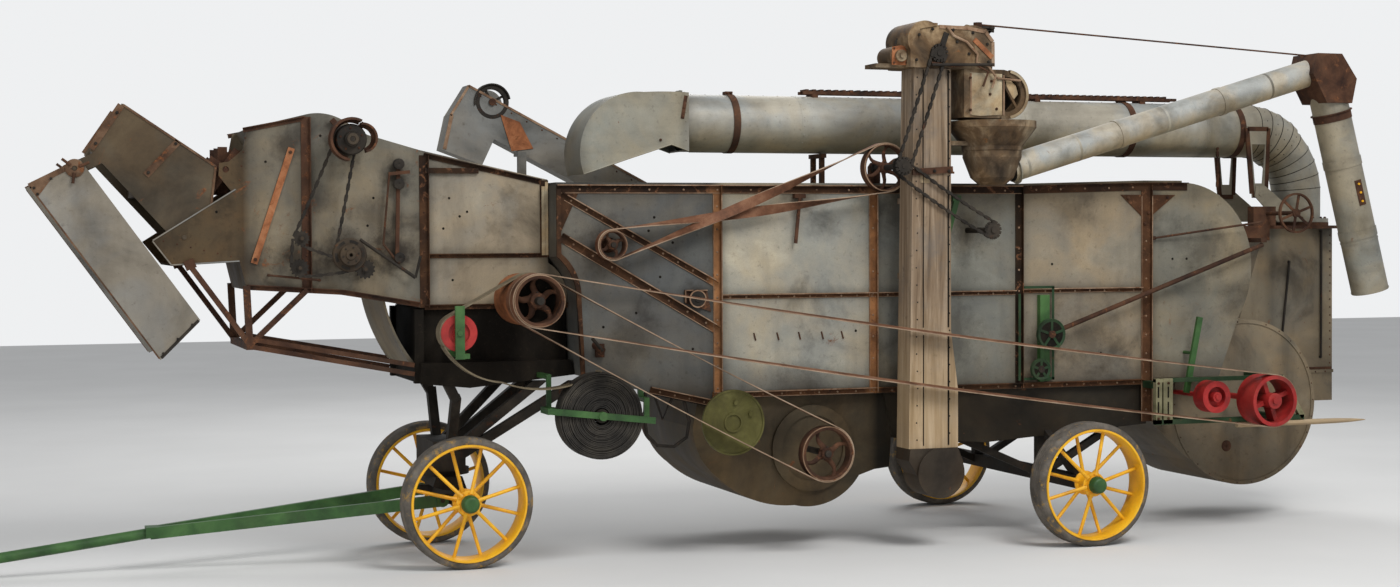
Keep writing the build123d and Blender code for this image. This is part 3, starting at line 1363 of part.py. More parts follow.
wheels()
nodes = [("front_axle", [front_axle]), ("tongue", [tongue]), ("front_legs", [front_legs])]
nodes += [("body_shell", [body_shell, body_deck]), ("shoe_housing", [shoe_housing])]
nodes += [("side_frames", [near_frame, far_frame, cylinder_frame, pipe_prop])]
nodes += [("cylinder_house", [cylinder_house, front_sheet]), ("cylinder_trough", [cylinder_trough])]
nodes += [("feeder_house", [feeder_house]), ("feeder_frame", [feeder_frame, feeder_strap])]
nodes += [("band_cutter", [band_cutter]), ("feeder_drive", [feeder_drum, feeder_drive, feeder_spools])]
nodes += [("inner_carrier", [inner_carrier, inner_raddle]), ("outer_carrier", [outer_carrier, outer_raddle])]
nodes += [("cleaning_fan", [cleaning_fan]), ("rear_axle", [rear_axle])]
nodes += [("rusty_pulleys", [main_pulley, chaff_pulley, cross_pulley, top_pulley, far_pulley])]
nodes += [("red_pulleys", [idler_pulley, blower_pulley, tightener_pulley]), ("olive_disc", [olive_disc])]
nodes += [("green_bars", [idler_bar, reel_bars, rear_lever, rod_post, leg_brace]), ("belt_roll", [belt_roll])]
nodes += [("drive_belt", [drive_belt]), ("leather_belts", [long_belt, fan_belt, cross_belt])]
nodes += [("drive_chains", [drive_chains]), ("control_rods", [drive_rods, hand_wheel, wall_pulley, hang_lever])]
nodes += [("platform_frame", [platform_frame, pole]), ("elevator_leg", [elevator_leg])]
nodes += [("elevator_boot", [elevator_boot]), ("elevator_head", [elevator_head, weigher_bucket])]
nodes += [("grain_hopper", [grain_hopper]), ("loader_tube", [loader_tube]), ("loader_bowl", [loader_bowl])]
nodes += [("loader_head", [loader_head, stay_wire]), ("drop_pipe", [drop_pipe])]
nodes += [("straw_fan", [straw_fan, straw_trunk]), ("stacker_base", [stacker_base])]
nodes += [("stacker_elbow", [stacker_elbow]), ("upper_bend", [upper_bend]), ("straw_pipe", [straw_pipe])]
nodes += [("straw_hood", [straw_hood]), ("pipe_rack", [pipe_rack]), ("tailings_elevator", [tailings_elevator])]
write_nodes(nodes)
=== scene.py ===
from math import asin, atan2, cos, degrees, hypot, pi, radians, sin

import bmesh
import bpy
from mathutils import Matrix, Vector


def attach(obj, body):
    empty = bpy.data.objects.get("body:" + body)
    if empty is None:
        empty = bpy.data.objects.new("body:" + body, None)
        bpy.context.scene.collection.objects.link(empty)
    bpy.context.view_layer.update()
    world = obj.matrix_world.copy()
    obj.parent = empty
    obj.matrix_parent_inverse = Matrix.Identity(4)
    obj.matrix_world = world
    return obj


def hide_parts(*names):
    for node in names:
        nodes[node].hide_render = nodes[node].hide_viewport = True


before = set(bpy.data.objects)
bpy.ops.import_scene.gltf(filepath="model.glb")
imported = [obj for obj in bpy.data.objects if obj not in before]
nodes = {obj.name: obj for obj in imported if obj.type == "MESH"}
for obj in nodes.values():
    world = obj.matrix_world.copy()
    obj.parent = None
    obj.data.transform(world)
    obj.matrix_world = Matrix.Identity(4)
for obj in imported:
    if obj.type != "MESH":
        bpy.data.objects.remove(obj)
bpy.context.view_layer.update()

# Sizes below are in millimetres from the front axle, as in the part's source
ORIGIN_X = 1604

# Y of the near walls of the body and the feeder, and of the loader's middle
SIDE = -635
FEED = -420
LOADER_Y = -900

# Z of the wheels' middle and the straw pipe's middle, and the pipe's radius
WHEEL_Z = 430
PIPE_Z = 2960
PIPE_R = 202

# Least angle between two faces that makes their edge sharp
SHARP_EDGE = radians(38)

# X and Z of the shafts
MAIN = (370, 1755)
WALL = (957, 2107)
LOW = (2391, 693)
TOP = (2925, 2630)
WEIGHER = (3190, 3400)
AUGER = (3624, 2195)
STRAW_FAN = (5859, 950)
FAR_SIDE = (1858, 778)

# Middle and radius of the straw pipe's bend, and half the angle of its mitres
BEND_X, BEND_Z, BEND_R = 6330, 2470, 490
MITRE = radians(5)


def at(x, y, z):
    return Vector(((x - ORIGIN_X) / 1000, y / 1000, z / 1000))


# Camera

def camera():
    """Camera at the photograph's place, in metres and radians."""
    yaw, pitch, roll = 0.33779, -0.02811, -0.00445
    place = (-4.57846, -13.69531, 2.16383)
    ahead = Vector((sin(yaw) * cos(pitch), cos(yaw) * cos(pitch), sin(pitch)))
    right = Vector((cos(yaw), -sin(yaw), 0))
    up = right.cross(ahead)
    side = right * cos(roll) + up * sin(roll)
    top = up * cos(roll) - right * sin(roll)
    data = bpy.data.cameras.new("camera")
    data.lens = 52.63
    data.sensor_width = 36
    data.sensor_fit = "HORIZONTAL"
    data.clip_end = 200
    made = bpy.data.objects.new("camera", data)
    made.matrix_world = Matrix.Translation(place) @ Matrix((side, top, -ahead)).transposed().to_4x4()
    bpy.context.scene.collection.objects.link(made)
    bpy.context.scene.camera = made


camera()


# Materials

class Tree:
    """Small helper that adds nodes to one material."""

    def __init__(self, name):
        self.material = bpy.data.materials.new(name)
        self.material.use_nodes = True
        self.nodes = self.material.node_tree.nodes
        self.links = self.material.node_tree.links
        self.shader = self.nodes["Principled BSDF"]
        self.place = self.nodes.new("ShaderNodeTexCoord").outputs["Object"]

    def add(self, kind, inputs=(), **settings):
        node = self.nodes.new(kind)
        for key, value in settings.items():
            setattr(node, key, value)
        for key, value in dict(inputs).items():
            if isinstance(value, bpy.types.NodeSocket):
                self.links.new(value, node.inputs[key])
            else:
                node.inputs[key].default_value = value
        return node

    def stretched(self, scale):
        return self.add("ShaderNodeMapping", {"Vector": self.place, "Scale": scale}).outputs[0]

    def noise(self, scale, detail=6, rough=0.6, vector=None, warp=0.0):
        values = {"Scale": scale, "Detail": detail, "Roughness": rough, "Distortion": warp}
        values["Vector"] = vector or self.place
        return self.add("ShaderNodeTexNoise", values).outputs["Fac"]

    def ramp(self, value, stops):
        node = self.add("ShaderNodeValToRGB", {"Fac": value})
        marks = node.color_ramp.elements
        while len(marks) < len(stops):
            marks.new(0.5)
        for mark, (spot, colour) in zip(marks, stops):
            mark.position = spot
            mark.color = (*colour, 1)
        return node.outputs["Color"]

    def level(self, value, low, high, to_low=0.0, to_high=1.0):
        values = {"Value": value, "From Min": low, "From Max": high, "To Min": to_low, "To Max": to_high}
        return self.add("ShaderNodeMapRange", values).outputs[0]

    def plus(self, first, second):
        return self.add("ShaderNodeMath", {0: first, 1: second}, operation="ADD").outputs[0]

    def mix(self, share, first, second, kind="MIX"):
        """Mix of two colours: the node takes them at inputs 6 and 7 and gives output 2."""
        values = {0: share, 6: first, 7: second}
        values = {key: (*v, 1) if isinstance(v, tuple) else v for key, v in values.items()}
        return self.add("ShaderNodeMix", values, data_type="RGBA", blend_type=kind).outputs[2]

    def tint(self, colour, tone):
        return self.mix(1.0, colour, tone, "MULTIPLY")

    def along(self, axis, low, high):
        """Share of the way from low to high along an axis, in metres."""
        split = self.add("ShaderNodeSeparateXYZ", {"Vector": self.place})
        return self.level(split.outputs[axis], low, high)

    def bands(self, axis, rows, edge=0.62, soft=90):
        """Tone of each sheet along an axis, darker by its edges with painted shade and dirt: rows of start
        and tone.
        """
        stops = []
        for (low, tone), (high, _) in zip(rows, rows[1:]):
            rim = tuple(v * edge for v in tone)
            reach = min(soft, (high - low) / 4)
            stops += [(low, rim), (low + reach, tone), (high - reach, tone), (high - 1, rim)]
        origin = ORIGIN_X if axis == 0 else 0
        half = 6000
        stops = [((x - origin + half) / (2 * half), tone) for x, tone in stops]
        return self.ramp(self.along(axis, -half / 1000, half / 1000), stops)

    def bump(self, height, strength, distance, normal=None):
        values = {"Height": height, "Strength": strength, "Distance": distance}
        if normal:
            values["Normal"] = normal
        return self.add("ShaderNodeBump", values).outputs[0]

    def finish(self, colour, rough, normal, metal=0.0, specular=0.2):
        self.links.new(colour, self.shader.inputs["Base Color"])
        self.links.new(rough, self.shader.inputs["Roughness"])
        self.links.new(normal, self.shader.inputs["Normal"])
        self.shader.inputs["Metallic"].default_value = metal
        self.shader.inputs["Specular IOR Level"].default_value = specular
        return self.material


RUST = ((0.075, 0.026, 0.012), (0.22, 0.085, 0.032))


def worn(name, colours, patch=1.5, streak=0.35, dirt=(0.06, 0.045, 0.03), rust=RUST, rust_share=0.4,
         rough=(0.5, 0.75), metal=0.0, dents=0.0, lean=(4, 4, 0.6), sheets=None, rim=0.62, tiers=None,
         foot=None, ground_reflection=None, stains=(), stain_y=SIDE, gloss=0.2):
    """Weathered metal or paint: cloudy patches, rain streaks, dirt, rust spots, dents and grain.

    sheets and tiers give each sheet along X and Z its own tone, which in places carries painted
    shade, and darken each sheet by its edges with painted shade and dirt; foot darkens the sheets
    towards their lower edge, under tints what faces down with a painted reflection of the ground,
    and stains are oily spots on the wall at stain_y: rows of X, Z, reach and strength.
    """
    t = Tree(name)
    cloud = t.noise(patch, 9, 0.62, warp=0.4)
    count = len(colours) - 1
    colour = t.ramp(cloud, [(0.32 + 0.36 * i / count, c) for i, c in enumerate(colours)])
    if dents:
        tones = [(0.4, (0.87, 0.92, 0.97)), (0.5, (0.98, 0.97, 0.95)), (0.6, (1.08, 1.0, 0.88))]
        colour = t.tint(colour, t.ramp(t.noise(patch * 0.8, 4, 0.6, warp=0.5), tones))
    run = t.noise(1.0, 6, 0.6, t.stretched(lean))
    colour = t.mix(t.level(run, 0.5, 0.72, 0.0, streak), colour, dirt)
    spots = t.noise(patch * 14, 5, 0.7)
    colour = t.mix(t.level(spots, 0.58, 0.76, 0.0, 0.5), colour, dirt)
    if sheets:
        colour = t.tint(colour, t.bands(0, sheets, rim))
    if tiers:
        colour = t.tint(colour, t.bands(2, tiers, 0.66, 80))
    # Painted reflection of the ground: faces that look down take a warm tint.
    if ground_reflection:
        normal = t.add("ShaderNodeTexCoord").outputs["Normal"]
        facing = t.add("ShaderNodeSeparateXYZ", {"Vector": normal}).outputs[2]
        colour = t.mix(t.level(facing, 0.1, -0.7), colour, t.tint(colour, ground_reflection))
    if foot:
        low, high, strength = foot
        ragged = t.level(t.noise(3.0, 8, 0.7), 0.3, 0.7, -0.14, 0.14)
        height = t.plus(t.along(2, low / 1000, high / 1000), ragged)
        colour = t.mix(t.level(height, 0.0, 1.0, strength, 0.0), colour, (0.035, 0.024, 0.014))
    if stains:
        torn = t.level(t.noise(5.0, 8, 0.75), 0.3, 0.7, -0.45, 0.45)
    for x, z, reach, strength in stains:
        ends = {0: t.place, 1: at(x, stain_y, z)}
        far = t.add("ShaderNodeVectorMath", ends, operation="DISTANCE").outputs["Value"]
        near = t.plus(t.level(far, 0.0, reach / 1000, 1.4, 0.0), torn)
        colour = t.mix(t.level(near, 0.46, 1.2, 0.0, strength), colour, (0.022, 0.015, 0.01))
    fine = t.noise(240, 2, 0.5)
    colour = t.mix(t.level(fine, 0.3, 0.7, 0.0, 0.16), colour, (0.02, 0.02, 0.02))
    rough_out = t.level(cloud, 0.3, 0.7, *rough)
    height = fine
    if rust:
        where = t.noise(patch * 2.3, 12, 0.72, warp=0.8)
        low = 0.72 - rust_share * 0.4
        share = t.level(where, low, low + 0.07)
        shade = t.ramp(t.noise(patch * 20, 6, 0.7), [(0.35, rust[0]), (0.65, rust[1])])
        colour = t.mix(share, colour, shade)
        rough_out = t.mix(share, rough_out, (0.85, 0.85, 0.85))
        height = t.mix(0.5, fine, share)
    normal = t.bump(height, 0.35, 0.0015)
    if dents:
        normal = t.bump(t.noise(2.6, 2, 0.5), dents, 0.03, normal)
    return t.finish(colour, rough_out, normal, metal, gloss)


# Tones of bare sheets, from dark to light
WARM = [(0.15, 0.142, 0.125), (0.3, 0.285, 0.25), (0.36, 0.335, 0.28), (0.46, 0.43, 0.36)]
PIPE = [(0.2, 0.198, 0.18), (0.33, 0.328, 0.305), (0.43, 0.428, 0.4)]
PLAIN = (1, 1, 1)

galvanised = worn("galvanised_sheet", [(0.11, 0.103, 0.09), (0.215, 0.203, 0.18), (0.3, 0.286, 0.255)],
                  1.6, 0.3, rust_share=0.14, metal=0.2, dents=0.5)
# The darker tones of the sheets from X 2890 on are partly painted shade, and the tiers darken the wall along
# its chords with painted shade.
panels = worn(
    "wall_panels", WARM, 1.7, 0.3, rust_share=0.17, metal=0.2, dents=0.5,
    sheets=[(600, (0.35, 0.36, 0.38)), (1736, (1.06, 1.05, 1.0)), (2890, (0.66, 0.66, 0.63)),
            (4030, (0.8, 0.72, 0.62)), (5075, (0.66, 0.62, 0.54)), (6300, None)],
    tiers=[(1060, PLAIN), (1750, PLAIN), (2450, None)], foot=(1050, 1300, 0.6),
    stains=[(957, 2107, 300, 0.7), (1583, 1740, 260, 0.6), (1150, 1500, 330, 0.5), (3110, 2300, 420, 0.55),
            (3620, 2190, 330, 0.6), (4200, 1350, 330, 0.5), (2330, 2400, 210, 0.5), (2380, 1110, 380, 0.5),
            (5950, 1600, 420, 0.45), (5080, 2420, 300, 0.4), (4600, 1400, 520, 0.5), (3500, 1430, 420, 0.45),
            (4480, 2370, 330, 0.45), (5560, 2050, 420, 0.5)])
front_sheet = worn(
    "front_panels", WARM, 1.9, 0.35, (0.07, 0.05, 0.03), rust_share=0.2, metal=0.15, dents=0.5,
    sheets=[(-500, (0.72, 0.63, 0.5)), (-228, (0.86, 0.79, 0.7)), (600, (0.38, 0.36, 0.33)), (800, None)],
    tiers=[(1690, PLAIN), (2040, (1.05, 1.05, 1.05)), (2780, None)])
feeder_sheet = worn(
    "feeder_sheets", WARM, 2.4, 0.4, (0.05, 0.032, 0.018), rust_share=0.3, metal=0.1, dents=0.5,
    sheets=[(-2600, (0.28, 0.19, 0.105)), (-1370, (0.5, 0.45, 0.38)), (-995, (0.6, 0.55, 0.475)),
            (-250, None)],
    stains=[(-740, 2052, 330, 0.85), (-735, 2790, 270, 0.8), (-402, 2560, 220, 0.8), (-402, 2060, 280, 0.85),
            (-1058, 2040, 260, 0.8), (-1110, 2760, 200, 0.7), (-1330, 2010, 200, 0.6),
            (-560, 2300, 260, 0.45), (-900, 2400, 170, 0.5)], stain_y=FEED)
brown_sheet = worn("brown_sheet", [(0.036, 0.026, 0.015), (0.078, 0.057, 0.035), (0.12, 0.094, 0.06)],
                   2.2, 0.4, rust_share=0.25, metal=0.1, dents=0.4)
deep_sheet = worn(
    "shaded_brown_sheet", [(0.018, 0.014, 0.009), (0.04, 0.031, 0.02), (0.075, 0.058, 0.037)],
    2.2, 0.4, rust_share=0.2, metal=0.1, dents=0.4,
    sheets=[(900, (1.6, 1.48, 1.25)), (2960, (0.62, 0.6, 0.55)), (5500, None)])
blower_sheet = worn(
    "blower_sheet", WARM, 2.0, 0.4, (0.05, 0.034, 0.02), rust_share=0.22, metal=0.12, dents=0.5,
    sheets=[(5300, (0.72, 0.6, 0.46)), (6420, (0.62, 0.55, 0.46)), (7100, None)], foot=(300, 1500, 0.6))
# Faces of the pipe and the spout that look down take a painted reflection of the ground.
galvanised_pipe = worn(
    "galvanised_pipe", PIPE, 2.2, 0.3, rust_share=0.1, metal=0.25, rough=(0.45, 0.65), dents=0.35,
    lean=(0.8, 5, 5), ground_reflection=(0.98, 0.87, 0.66), gloss=0.35,
    sheets=[(900, (0.8, 0.77, 0.68)), (1690, (1.02, 1.01, 0.98)), (5900, (0.86, 0.83, 0.76)), (7300, None)])
spout_sheet = worn(
    "spout_sheet", [(0.23, 0.215, 0.18), (0.37, 0.355, 0.315), (0.46, 0.445, 0.4)], 4.5, 0.35,
    rust_share=0.16, metal=0.2, dents=0.35, lean=(0.8, 6, 6), ground_reflection=(0.95, 0.82, 0.6), gloss=0.35)
dull_sheet = worn("dull_brown_sheet", [(0.02, 0.014, 0.009), (0.042, 0.03, 0.02), (0.085, 0.064, 0.042)],
                  2.6, 0.45, rust_share=0.25, metal=0.15, dents=0.4)
rusty = worn("rusty_steel", [(0.022, 0.01, 0.007), (0.06, 0.027, 0.015), (0.115, 0.054, 0.029)], 5, 0.3,
             rust=((0.04, 0.017, 0.01), (0.19, 0.08, 0.036)), rough=(0.65, 0.85), gloss=0.12)
# The tiers lighten the frame up to Z 2440 and darken the top chord above it with painted shade.
frame_steel = worn(
    "frame_steel", [(0.032, 0.017, 0.01), (0.075, 0.04, 0.022), (0.13, 0.072, 0.04)], 6, 0.3,
    rust=((0.06, 0.026, 0.014), (0.2, 0.092, 0.045)), rough=(0.65, 0.85), rim=1.0, gloss=0.12,
    sheets=[(500, (0.55, 0.5, 0.44)), (1690, (2.5, 2.2, 1.7)), (1790, (0.8, 0.7, 0.6)),
            (2845, (2.0, 1.75, 1.35)), (2940, (0.6, 0.55, 0.5)), (3990, (0.2, 0.22, 0.2)),
            (4070, (0.75, 0.65, 0.55)), (5030, (0.8, 0.68, 0.56)), (5500, None)],
    tiers=[(0, (1.2, 1.1, 1.0)), (2440, (0.6, 0.56, 0.52)), (3000, None)])
dark = worn("dark_steel", [(0.01, 0.008, 0.006), (0.022, 0.018, 0.014), (0.045, 0.036, 0.027)], 6, 0.3,
            rust=((0.035, 0.015, 0.008), (0.1, 0.042, 0.02)), rust_share=0.3, rough=(0.55, 0.8), gloss=0.15)
yellow = worn("yellow_paint", [(0.62, 0.29, 0.008), (0.86, 0.44, 0.012), (0.92, 0.52, 0.02)], 5, 0.12,
              dirt=(0.3, 0.17, 0.05), rust=None, rough=(0.35, 0.5), gloss=0.4)
green = worn("green_paint", [(0.016, 0.05, 0.012), (0.032, 0.095, 0.022), (0.06, 0.15, 0.038)], 5, 0.2,
             rust_share=0.12, rough=(0.4, 0.6), gloss=0.35)
dark_green = worn("dark_green_paint", [(0.008, 0.02, 0.008), (0.016, 0.042, 0.016), (0.03, 0.065, 0.026)],
                  5, 0.3, rust_share=0.3)
red = worn("red_paint", [(0.15, 0.009, 0.008), (0.33, 0.014, 0.013), (0.45, 0.03, 0.024)], 6, 0.3,
           rust_share=0.22, rough=(0.42, 0.6), gloss=0.35)
olive = worn("olive_paint", [(0.045, 0.04, 0.009), (0.085, 0.078, 0.018), (0.14, 0.13, 0.04)], 5, 0.25,
             rust_share=0.12, rough=(0.5, 0.7))
tan = worn("tan_sheet", [(0.2, 0.14, 0.08), (0.36, 0.275, 0.17), (0.48, 0.4, 0.27)], 6, 0.4,
           rust_share=0.2, dents=0.2)
tan_green = worn("faded_olive", [(0.13, 0.12, 0.062), (0.25, 0.23, 0.13), (0.34, 0.31, 0.19)], 6, 0.3,
                 rust_share=0.2)
copper_rust = worn("orange_rust", [(0.13, 0.045, 0.018), (0.3, 0.11, 0.045), (0.42, 0.19, 0.09)], 7, 0.35,
                   rust_share=0.35, rough=(0.6, 0.85), gloss=0.12)
mid_rust = worn("brown_rust", [(0.045, 0.024, 0.014), (0.11, 0.06, 0.034), (0.19, 0.115, 0.068)], 7, 0.4,
                rough=(0.65, 0.85), gloss=0.12)
# Light rust; its thin strips and rings along edges of irons, plates, covers and rims, and the frame's rivet
# heads, are painted highlight.
rust_and_edge_highlight = worn("light_rust_and_edge_highlight", [(0.13, 0.075, 0.044), (0.25, 0.155, 0.095), (0.37, 0.26, 0.175)], 7, 0.4,
                 rough=(0.6, 0.85), gloss=0.12)
hopper_rust = worn("hopper_rust", [(0.026, 0.016, 0.009), (0.12, 0.078, 0.044), (0.31, 0.235, 0.15)], 5, 0.5,
                   rust=((0.1, 0.036, 0.014), (0.36, 0.15, 0.04)), rust_share=0.25, rough=(0.6, 0.8),
                   dents=0.3, gloss=0.12)
void = worn("shadowed_steel", [(0.005, 0.004, 0.003), (0.01, 0.008, 0.006), (0.018, 0.014, 0.01)], 3, 0.2,
            rust=None, rough=(0.7, 0.9), gloss=0.05)


def wood(name, colours, lean):
    """Weathered boards with long grain, cracks and stains, lighter and warmer towards the ground with painted
    light.
    """
    t = Tree(name)
    grain = t.noise(1.0, 8, 0.65, t.stretched(lean), 0.6)
    colour = t.ramp(grain, list(zip((0.3, 0.48, 0.7), colours)))
    crack = t.noise(1.0, 3, 0.8, t.stretched(tuple(v * 1.8 for v in lean)), 0.3)
    colour = t.mix(t.level(crack, 0.64, 0.7, 0.0, 0.85), colour, (0.03, 0.022, 0.015))
    stain = t.noise(3.2, 9, 0.75)
    colour = t.mix(t.level(stain, 0.48, 0.66, 0.0, 0.6), colour, (0.13, 0.115, 0.1))
    colour = t.mix(t.level(t.noise(11, 6, 0.7), 0.6, 0.72, 0.0, 0.6), colour, (0.05, 0.034, 0.022))
    # Painted light: the boards get lighter and warmer from Z 1.75 m down to 1.1 m, leaving the top in painted
    # shade.
    colour = t.mix(t.along(2, 1.75, 1.1), colour, t.mix(1.0, colour, (0.2, 0.135, 0.065), "SCREEN"))
    normal = t.bump(t.mix(0.6, grain, t.level(crack, 0.64, 0.7)), 0.6, 0.003)
    return t.finish(colour, t.level(grain, 0.3, 0.7, 0.75, 0.92), normal)


wood_up = wood("old_wood", [(0.065, 0.042, 0.025), (0.19, 0.132, 0.083), (0.35, 0.27, 0.19)], (20, 20, 0.9))
wood_long = wood("old_pole", [(0.1, 0.07, 0.045), (0.22, 0.16, 0.1), (0.33, 0.26, 0.18)], (0.9, 20, 20))


def strap_material(name, colours, rough):
    """Leather or canvas belt with cross cracks; the lighter tone for the belt's edges is a painted highlight.
    """
    t = Tree(name)
    cloud = t.noise(6, 8, 0.65)
    colour = t.ramp(cloud, list(zip((0.3, 0.5, 0.72), colours)))
    weave = t.noise(160, 3, 0.6)
    colour = t.mix(t.level(weave, 0.5, 0.75, 0.0, 0.4), colour, colours[0])
    return t.finish(colour, t.level(cloud, 0.3, 0.7, *rough), t.bump(weave, 0.5, 0.001))


leather, belt_edge_highlight, canvas, rubber = (strap_material(*row) for row in (
    ("leather_belt", [(0.05, 0.02, 0.01), (0.15, 0.065, 0.034), (0.27, 0.14, 0.08)], (0.6, 0.8)),
    ("belt_edge_highlight", [(0.17, 0.11, 0.07), (0.3, 0.21, 0.14), (0.42, 0.32, 0.235)], (0.6, 0.8)),
    ("canvas_belt", [(0.075, 0.058, 0.034), (0.15, 0.118, 0.074), (0.24, 0.2, 0.135)], (0.7, 0.85)),
    ("rubber_belt", [(0.012, 0.011, 0.01), (0.035, 0.031, 0.026), (0.075, 0.065, 0.05)], (0.6, 0.85))))


def tyre_material():
    """Grey rubber with yellow overspray and dust."""
    t = Tree("grey_tyre")
    cloud = t.noise(9, 8, 0.65)
    tones = [(0.3, (0.055, 0.048, 0.04)), (0.52, (0.11, 0.096, 0.08)), (0.75, (0.19, 0.165, 0.135))]
    spray = t.level(t.noise(14, 6, 0.7), 0.56, 0.66, 0.0, 0.75)
    colour = t.mix(spray, t.ramp(cloud, tones), (0.36, 0.21, 0.05))
    return t.finish(colour, t.level(cloud, 0.3, 0.7, 0.75, 0.92), t.bump(t.noise(200, 3), 0.4, 0.001))


tyre_rubber = tyre_material()


def floor_material():
    """Plain pale floor that shows white and keeps the shadow."""
    t = Tree("floor")
    cloud = t.noise(0.6, 4, 0.5)
    colour = t.ramp(cloud, [(0.3, (0.66, 0.655, 0.64)), (0.7, (0.7, 0.695, 0.68))])
    return t.finish(colour, t.level(cloud, 0.3, 0.7, 0.85, 0.95), t.bump(t.noise(60, 2, 0.5), 0.05, 0.001))


# What each node of the part is made of
for material, names in (
        (panels, "body_shell"),
        (front_sheet, "cylinder_house"),
        (feeder_sheet, "feeder_house"),
        (brown_sheet, "inner_carrier"),
        (deep_sheet, "cleaning_fan shoe_housing"),
        (blower_sheet, "straw_fan"),
        (galvanised, "outer_carrier tailings_elevator"),
        (galvanised_pipe, "straw_pipe upper_bend stacker_elbow straw_hood drop_pipe"),
        (spout_sheet, "loader_tube"),
        (frame_steel, "side_frames"),
        (rusty, "feeder_frame band_cutter control_rods stacker_base pipe_rack loader_head feeder_drive"),
        (dark, "front_axle front_legs rear_axle drive_chains"),
        (void, "cylinder_trough"),
        (green, "tongue green_bars"),
        (red, "red_pulleys"),
        (olive, "olive_disc"),
        (dark_green, "platform_frame"),
        (wood_up, "elevator_leg"),
        (dull_sheet, "elevator_boot"),
        (hopper_rust, "grain_hopper loader_bowl elevator_head"),
        (canvas, "drive_belt")):
    for name in names.split():
        data = nodes[name].data
        data.materials.clear()
        data.materials.append(material)


# Mesh builders

def turns(count, start=0.0):
    """Angles spread evenly round a circle."""
    return [start + 2 * pi * i / count for i in range(count)]


def pairs(rows):
    """Each row with the next one."""
    return zip(rows, rows[1:])


